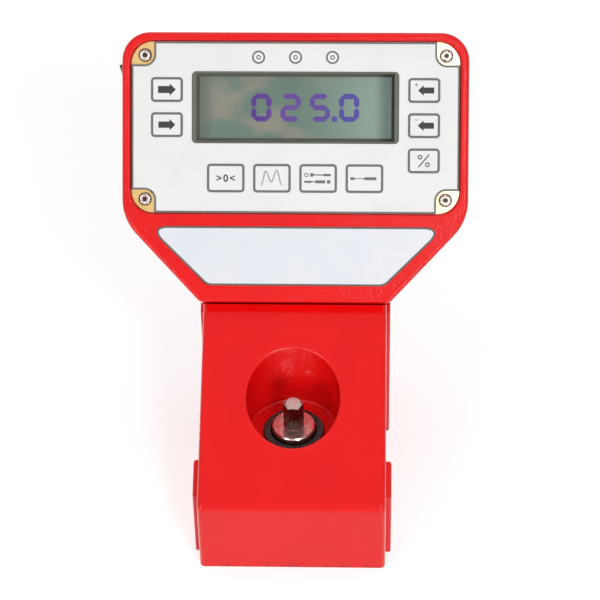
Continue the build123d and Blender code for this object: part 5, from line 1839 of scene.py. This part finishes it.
@dataclass
class LabelSheet:
    """The bare sheet under the keypad, with a dark line along its edge, which covers the label plate."""

    plane: HeadPlane
    shift: float = 0.7 * MM
    low: float = 9.8 * MM
    high: float = 43.4 * MM
    low_half: float = 50.4 * MM
    high_half: float = 84.8 * MM
    low_round: float = 2.6 * MM
    high_round: float = 12.0 * MM
    thickness: float = 0.3 * MM
    bevel: float = 0.1 * MM
    line: float = 1.1 * MM
    ink: float = INK

    def build(self) -> None:
        """Lay the sheet and print its line."""
        sheet = PrintedSheet("label_sheet", linear(226, 228, 233), linear(221, 225, 231), 0.3).material()
        dress(["label_plate"], sheet)
        self._outline()
        Bench.thicken(self.thickness)
        bpy.ops.mesh.select_mode(type="FACE")
        Bench.pick_faces(lambda p: p.normal.z > 0.9)
        bpy.ops.mesh.inset(thickness=self.bevel, depth=0)
        bpy.ops.transform.translate(value=(0, 0, self.bevel))
        self._lay(Bench.leave(), 0.0, "label_sheet", sheet)
        line = Ink("label_sheet", linear(96, 94, 90), linear(116, 114, 110)).material("_line_ink")
        self._outline()
        bpy.ops.mesh.inset(thickness=self.bevel, depth=0)
        bpy.ops.mesh.select_all(action="INVERT")
        bpy.ops.mesh.delete(type="FACE")
        bpy.ops.mesh.select_all(action="SELECT")
        Bench.hollow(self.line)
        Bench.thicken(self.ink)
        self._lay(Bench.leave(), self.thickness + self.bevel, "label_border", line)

    def _outline(self) -> None:
        """Draw the sheet's outline about its middle: slanted, and wide and well rounded at the top."""
        half = (self.high - self.low) / 2
        Bench.rectangle(2 * self.low_half, 2 * half)
        for end, widen, rounding in (
            (half, self.high_half / self.low_half, self.high_round),
            (-half, 1.0, self.low_round),
        ):
            Bench.pick_level_edges(end)
            bpy.ops.transform.resize(value=(widen, 1, 1), center_override=(0, end, 0))
            bpy.ops.mesh.bevel(offset=rounding, offset_pct=0, segments=10, affect="VERTICES")
        bpy.ops.mesh.select_all(action="SELECT")

    def _lay(self, piece: bpy.types.Object, lift: float, name: str, material: bpy.types.Material) -> None:
        """Lay a drawing on the face of the head.

        Args:
            piece: The drawing.
            lift: Its height above the face.
            name: Its name.
            material: Its material.
        """
        foot, _ = self.plane.span("head_housing", self.plane.up)
        face = self.plane.face("head_housing").lift
        place = self.plane.matrix(self.shift, foot + (self.low + self.high) / 2, face + lift)
        Bench.move_to(piece, place)
        Bench.hand_in(piece, name, material, "label_sheet", INSTRUMENT)


@dataclass
class Drive:
    """The hexagon drive, its lock ring, the bearing and the gauges."""

    disc_proud: float = 3.6 * MM

    def build(self) -> None:
        """Dress the drive's pieces."""
        low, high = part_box("drive_spindle")
        _, ring_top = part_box("lock_ring")
        foot = ring_top.z + self.disc_proud
        steel = TurnedSteel("drive_steel", (low.y + high.y) / 2, foot, high.z)
        dress(["drive_spindle"], steel.material())
        serrated = SerratedSteel("black_steel", (low.y + high.y) / 2)
        dress(["lock_ring"], serrated.material("_ring"))
        polished = PlainMetal("bearing_steel", (0.75, 0.75, 0.76), (0.6, 0.6, 0.62), 0.4, 0.16)
        bright = polished.material()
        dress(["bearing_outer_ring", "bearing_inner_ring", "bearing_balls", "serial_connector"], bright)
        dress(["strain_gauges"], FoilGauge("gauge_foil").material())


@dataclass
class RearFittings:
    """Power rocker, supply socket and data connector."""

    plane: HeadPlane
    contact_pitch: float = 2.77 * MM
    row_pitch: float = 2.84 * MM
    contact_radius: float = 0.56 * MM
    contact_depth: float = 0.5 * MM
    contact_line: float = 0.2 * MM
    contact_length: float = 3 * MM
    pin_radius: float = 1.1 * MM
    pin_sink: float = 1.4 * MM
    pin_length: float = 6.5 * MM
    mark_length: float = 2.4 * MM
    mark_line: float = 0.45 * MM
    mark_radius: float = 1.2 * MM
    mark_ring_line: float = 0.4 * MM
    level_lean: tuple[float, float] = (-0.1, 0.1)
    tipped_lean: tuple[float, float] = (-1.0, -0.2)

    def build(self) -> None:
        """Dress the fittings, and add the contacts, the pin and the marks of the rocker."""
        dress(["switch_body", "dc_socket"], Moulded("dark_plastic").material())
        glossy = Moulded("dark_plastic", (0.03, 0.03, 0.03), roughness=0.25, coat=0.4).material("_rocker")
        dress([ROCKER], glossy)
        dress(["board_parts"], Moulded("chip_resin", (0.03, 0.03, 0.03), roughness=0.4).material())
        self._contacts()
        self._pin()
        self._marks()

    def _contacts(self) -> None:
        """Set a gilt sleeve in each hole of the data connector."""
        gilt = PlainMetal("brass", (0.86, 0.62, 0.24), (0.7, 0.5, 0.2), 0.4, 0.2).material("_gilt")
        face = self.plane.back("serial_connector")
        sleeves = []
        for count, side in ((5, 1), (4, -1)):
            for place in range(count):
                u = (place - (count - 1) / 2) * self.contact_pitch
                middle = (face.u + u, face.v + side * self.row_pitch / 2)
                sleeve = Bench.ring(self.contact_radius, self.contact_line, height=self.contact_length)
                Bench.move_to(sleeve, self.plane.matrix(*middle, face.lift + self.contact_depth))
                sleeves.append(sleeve)
        Bench.hand_in(Bench.join(sleeves), "data_contacts", gilt, "brass", INSTRUMENT)

    def _pin(self) -> None:
        """Plate the centre pin of the supply socket."""
        plated = PlainMetal("screw_steel", (0.72, 0.70, 0.66), roughness=0.18).material("_pin")
        face = self.plane.back("dc_socket")
        Bench.clear()
        bpy.ops.mesh.primitive_cylinder_add(
            vertices=24, radius=self.pin_radius, depth=self.pin_length, location=(0, 0, self.pin_length / 2)
        )
        pin = bpy.context.object
        Bench.move_to(pin, self.plane.matrix(face.u, face.v, face.lift + self.pin_sink))
        Bench.hand_in(pin, "supply_pin", plated, "screw_steel", INSTRUMENT)

    def _marks(self) -> None:
        """Print the line and the ring of on and off on the rocker's two halves."""
        white = Ink("dark_plastic", linear(225, 225, 225), linear(200, 200, 200)).material("_mark_ink")
        level, tipped = self._half(*self.level_lean), self._half(*self.tipped_lean)
        for drawing, place, name in (
            (Bench.bar(self.mark_length, self.mark_line), tipped, "rocker_mark_on"),
            (Bench.ring(self.mark_radius, self.mark_ring_line), level, "rocker_mark_off"),
        ):
            Bench.move_to(drawing, place)
            Bench.hand_in(drawing, name, white, "dark_plastic", ROCKER)

    def _half(self, low: float, high: float) -> Matrix:
        """Find the frame of one half of the rocker's outer face.

        Args:
            low: The least lean of its normal up the head. The tipped half leans down it, so below 0.
            high: The greatest.

        Returns:
            The transform that lays a drawing on it.
        """
        up = self.plane.up
        flats = [
            polygon
            for polygon in frame["nodes"][ROCKER].data.polygons
            if polygon.normal.x < -0.9 and low < polygon.normal.dot(up) < high
        ]
        area = sum(polygon.area for polygon in flats)
        middle = sum((polygon.center * polygon.area for polygon in flats), Vector()) / area
        normal = sum((polygon.normal * polygon.area for polygon in flats), Vector()).normalized()
        across = normal.cross(up).normalized()
        turn = Matrix((across.cross(normal), across, normal)).transposed()
        return Matrix.Translation(middle) @ turn.to_4x4()


def main() -> None:
    """Build the studio and every sub-assembly in order."""
    logging.basicConfig(level=logging.INFO, format="%(message)s")
    bpy.context.scene.view_settings.view_transform = "Standard"
    inward = next(Vector(joint["axis"]) for joint in frame["joints"] if joint["name"] == "key_zero_press")
    plane = HeadPlane(inward)
    PhotoCamera().build()
    Studio().build()
    Casings(plane).build()
    LabelSheet(plane).build()
    Drive().build()
    keypad = Keypad(plane)
    keypad.build()
    Display(plane).build()
    Lamps(plane, keypad).build()
    RearFittings(plane).build()


if __name__ == "__main__":
    main()
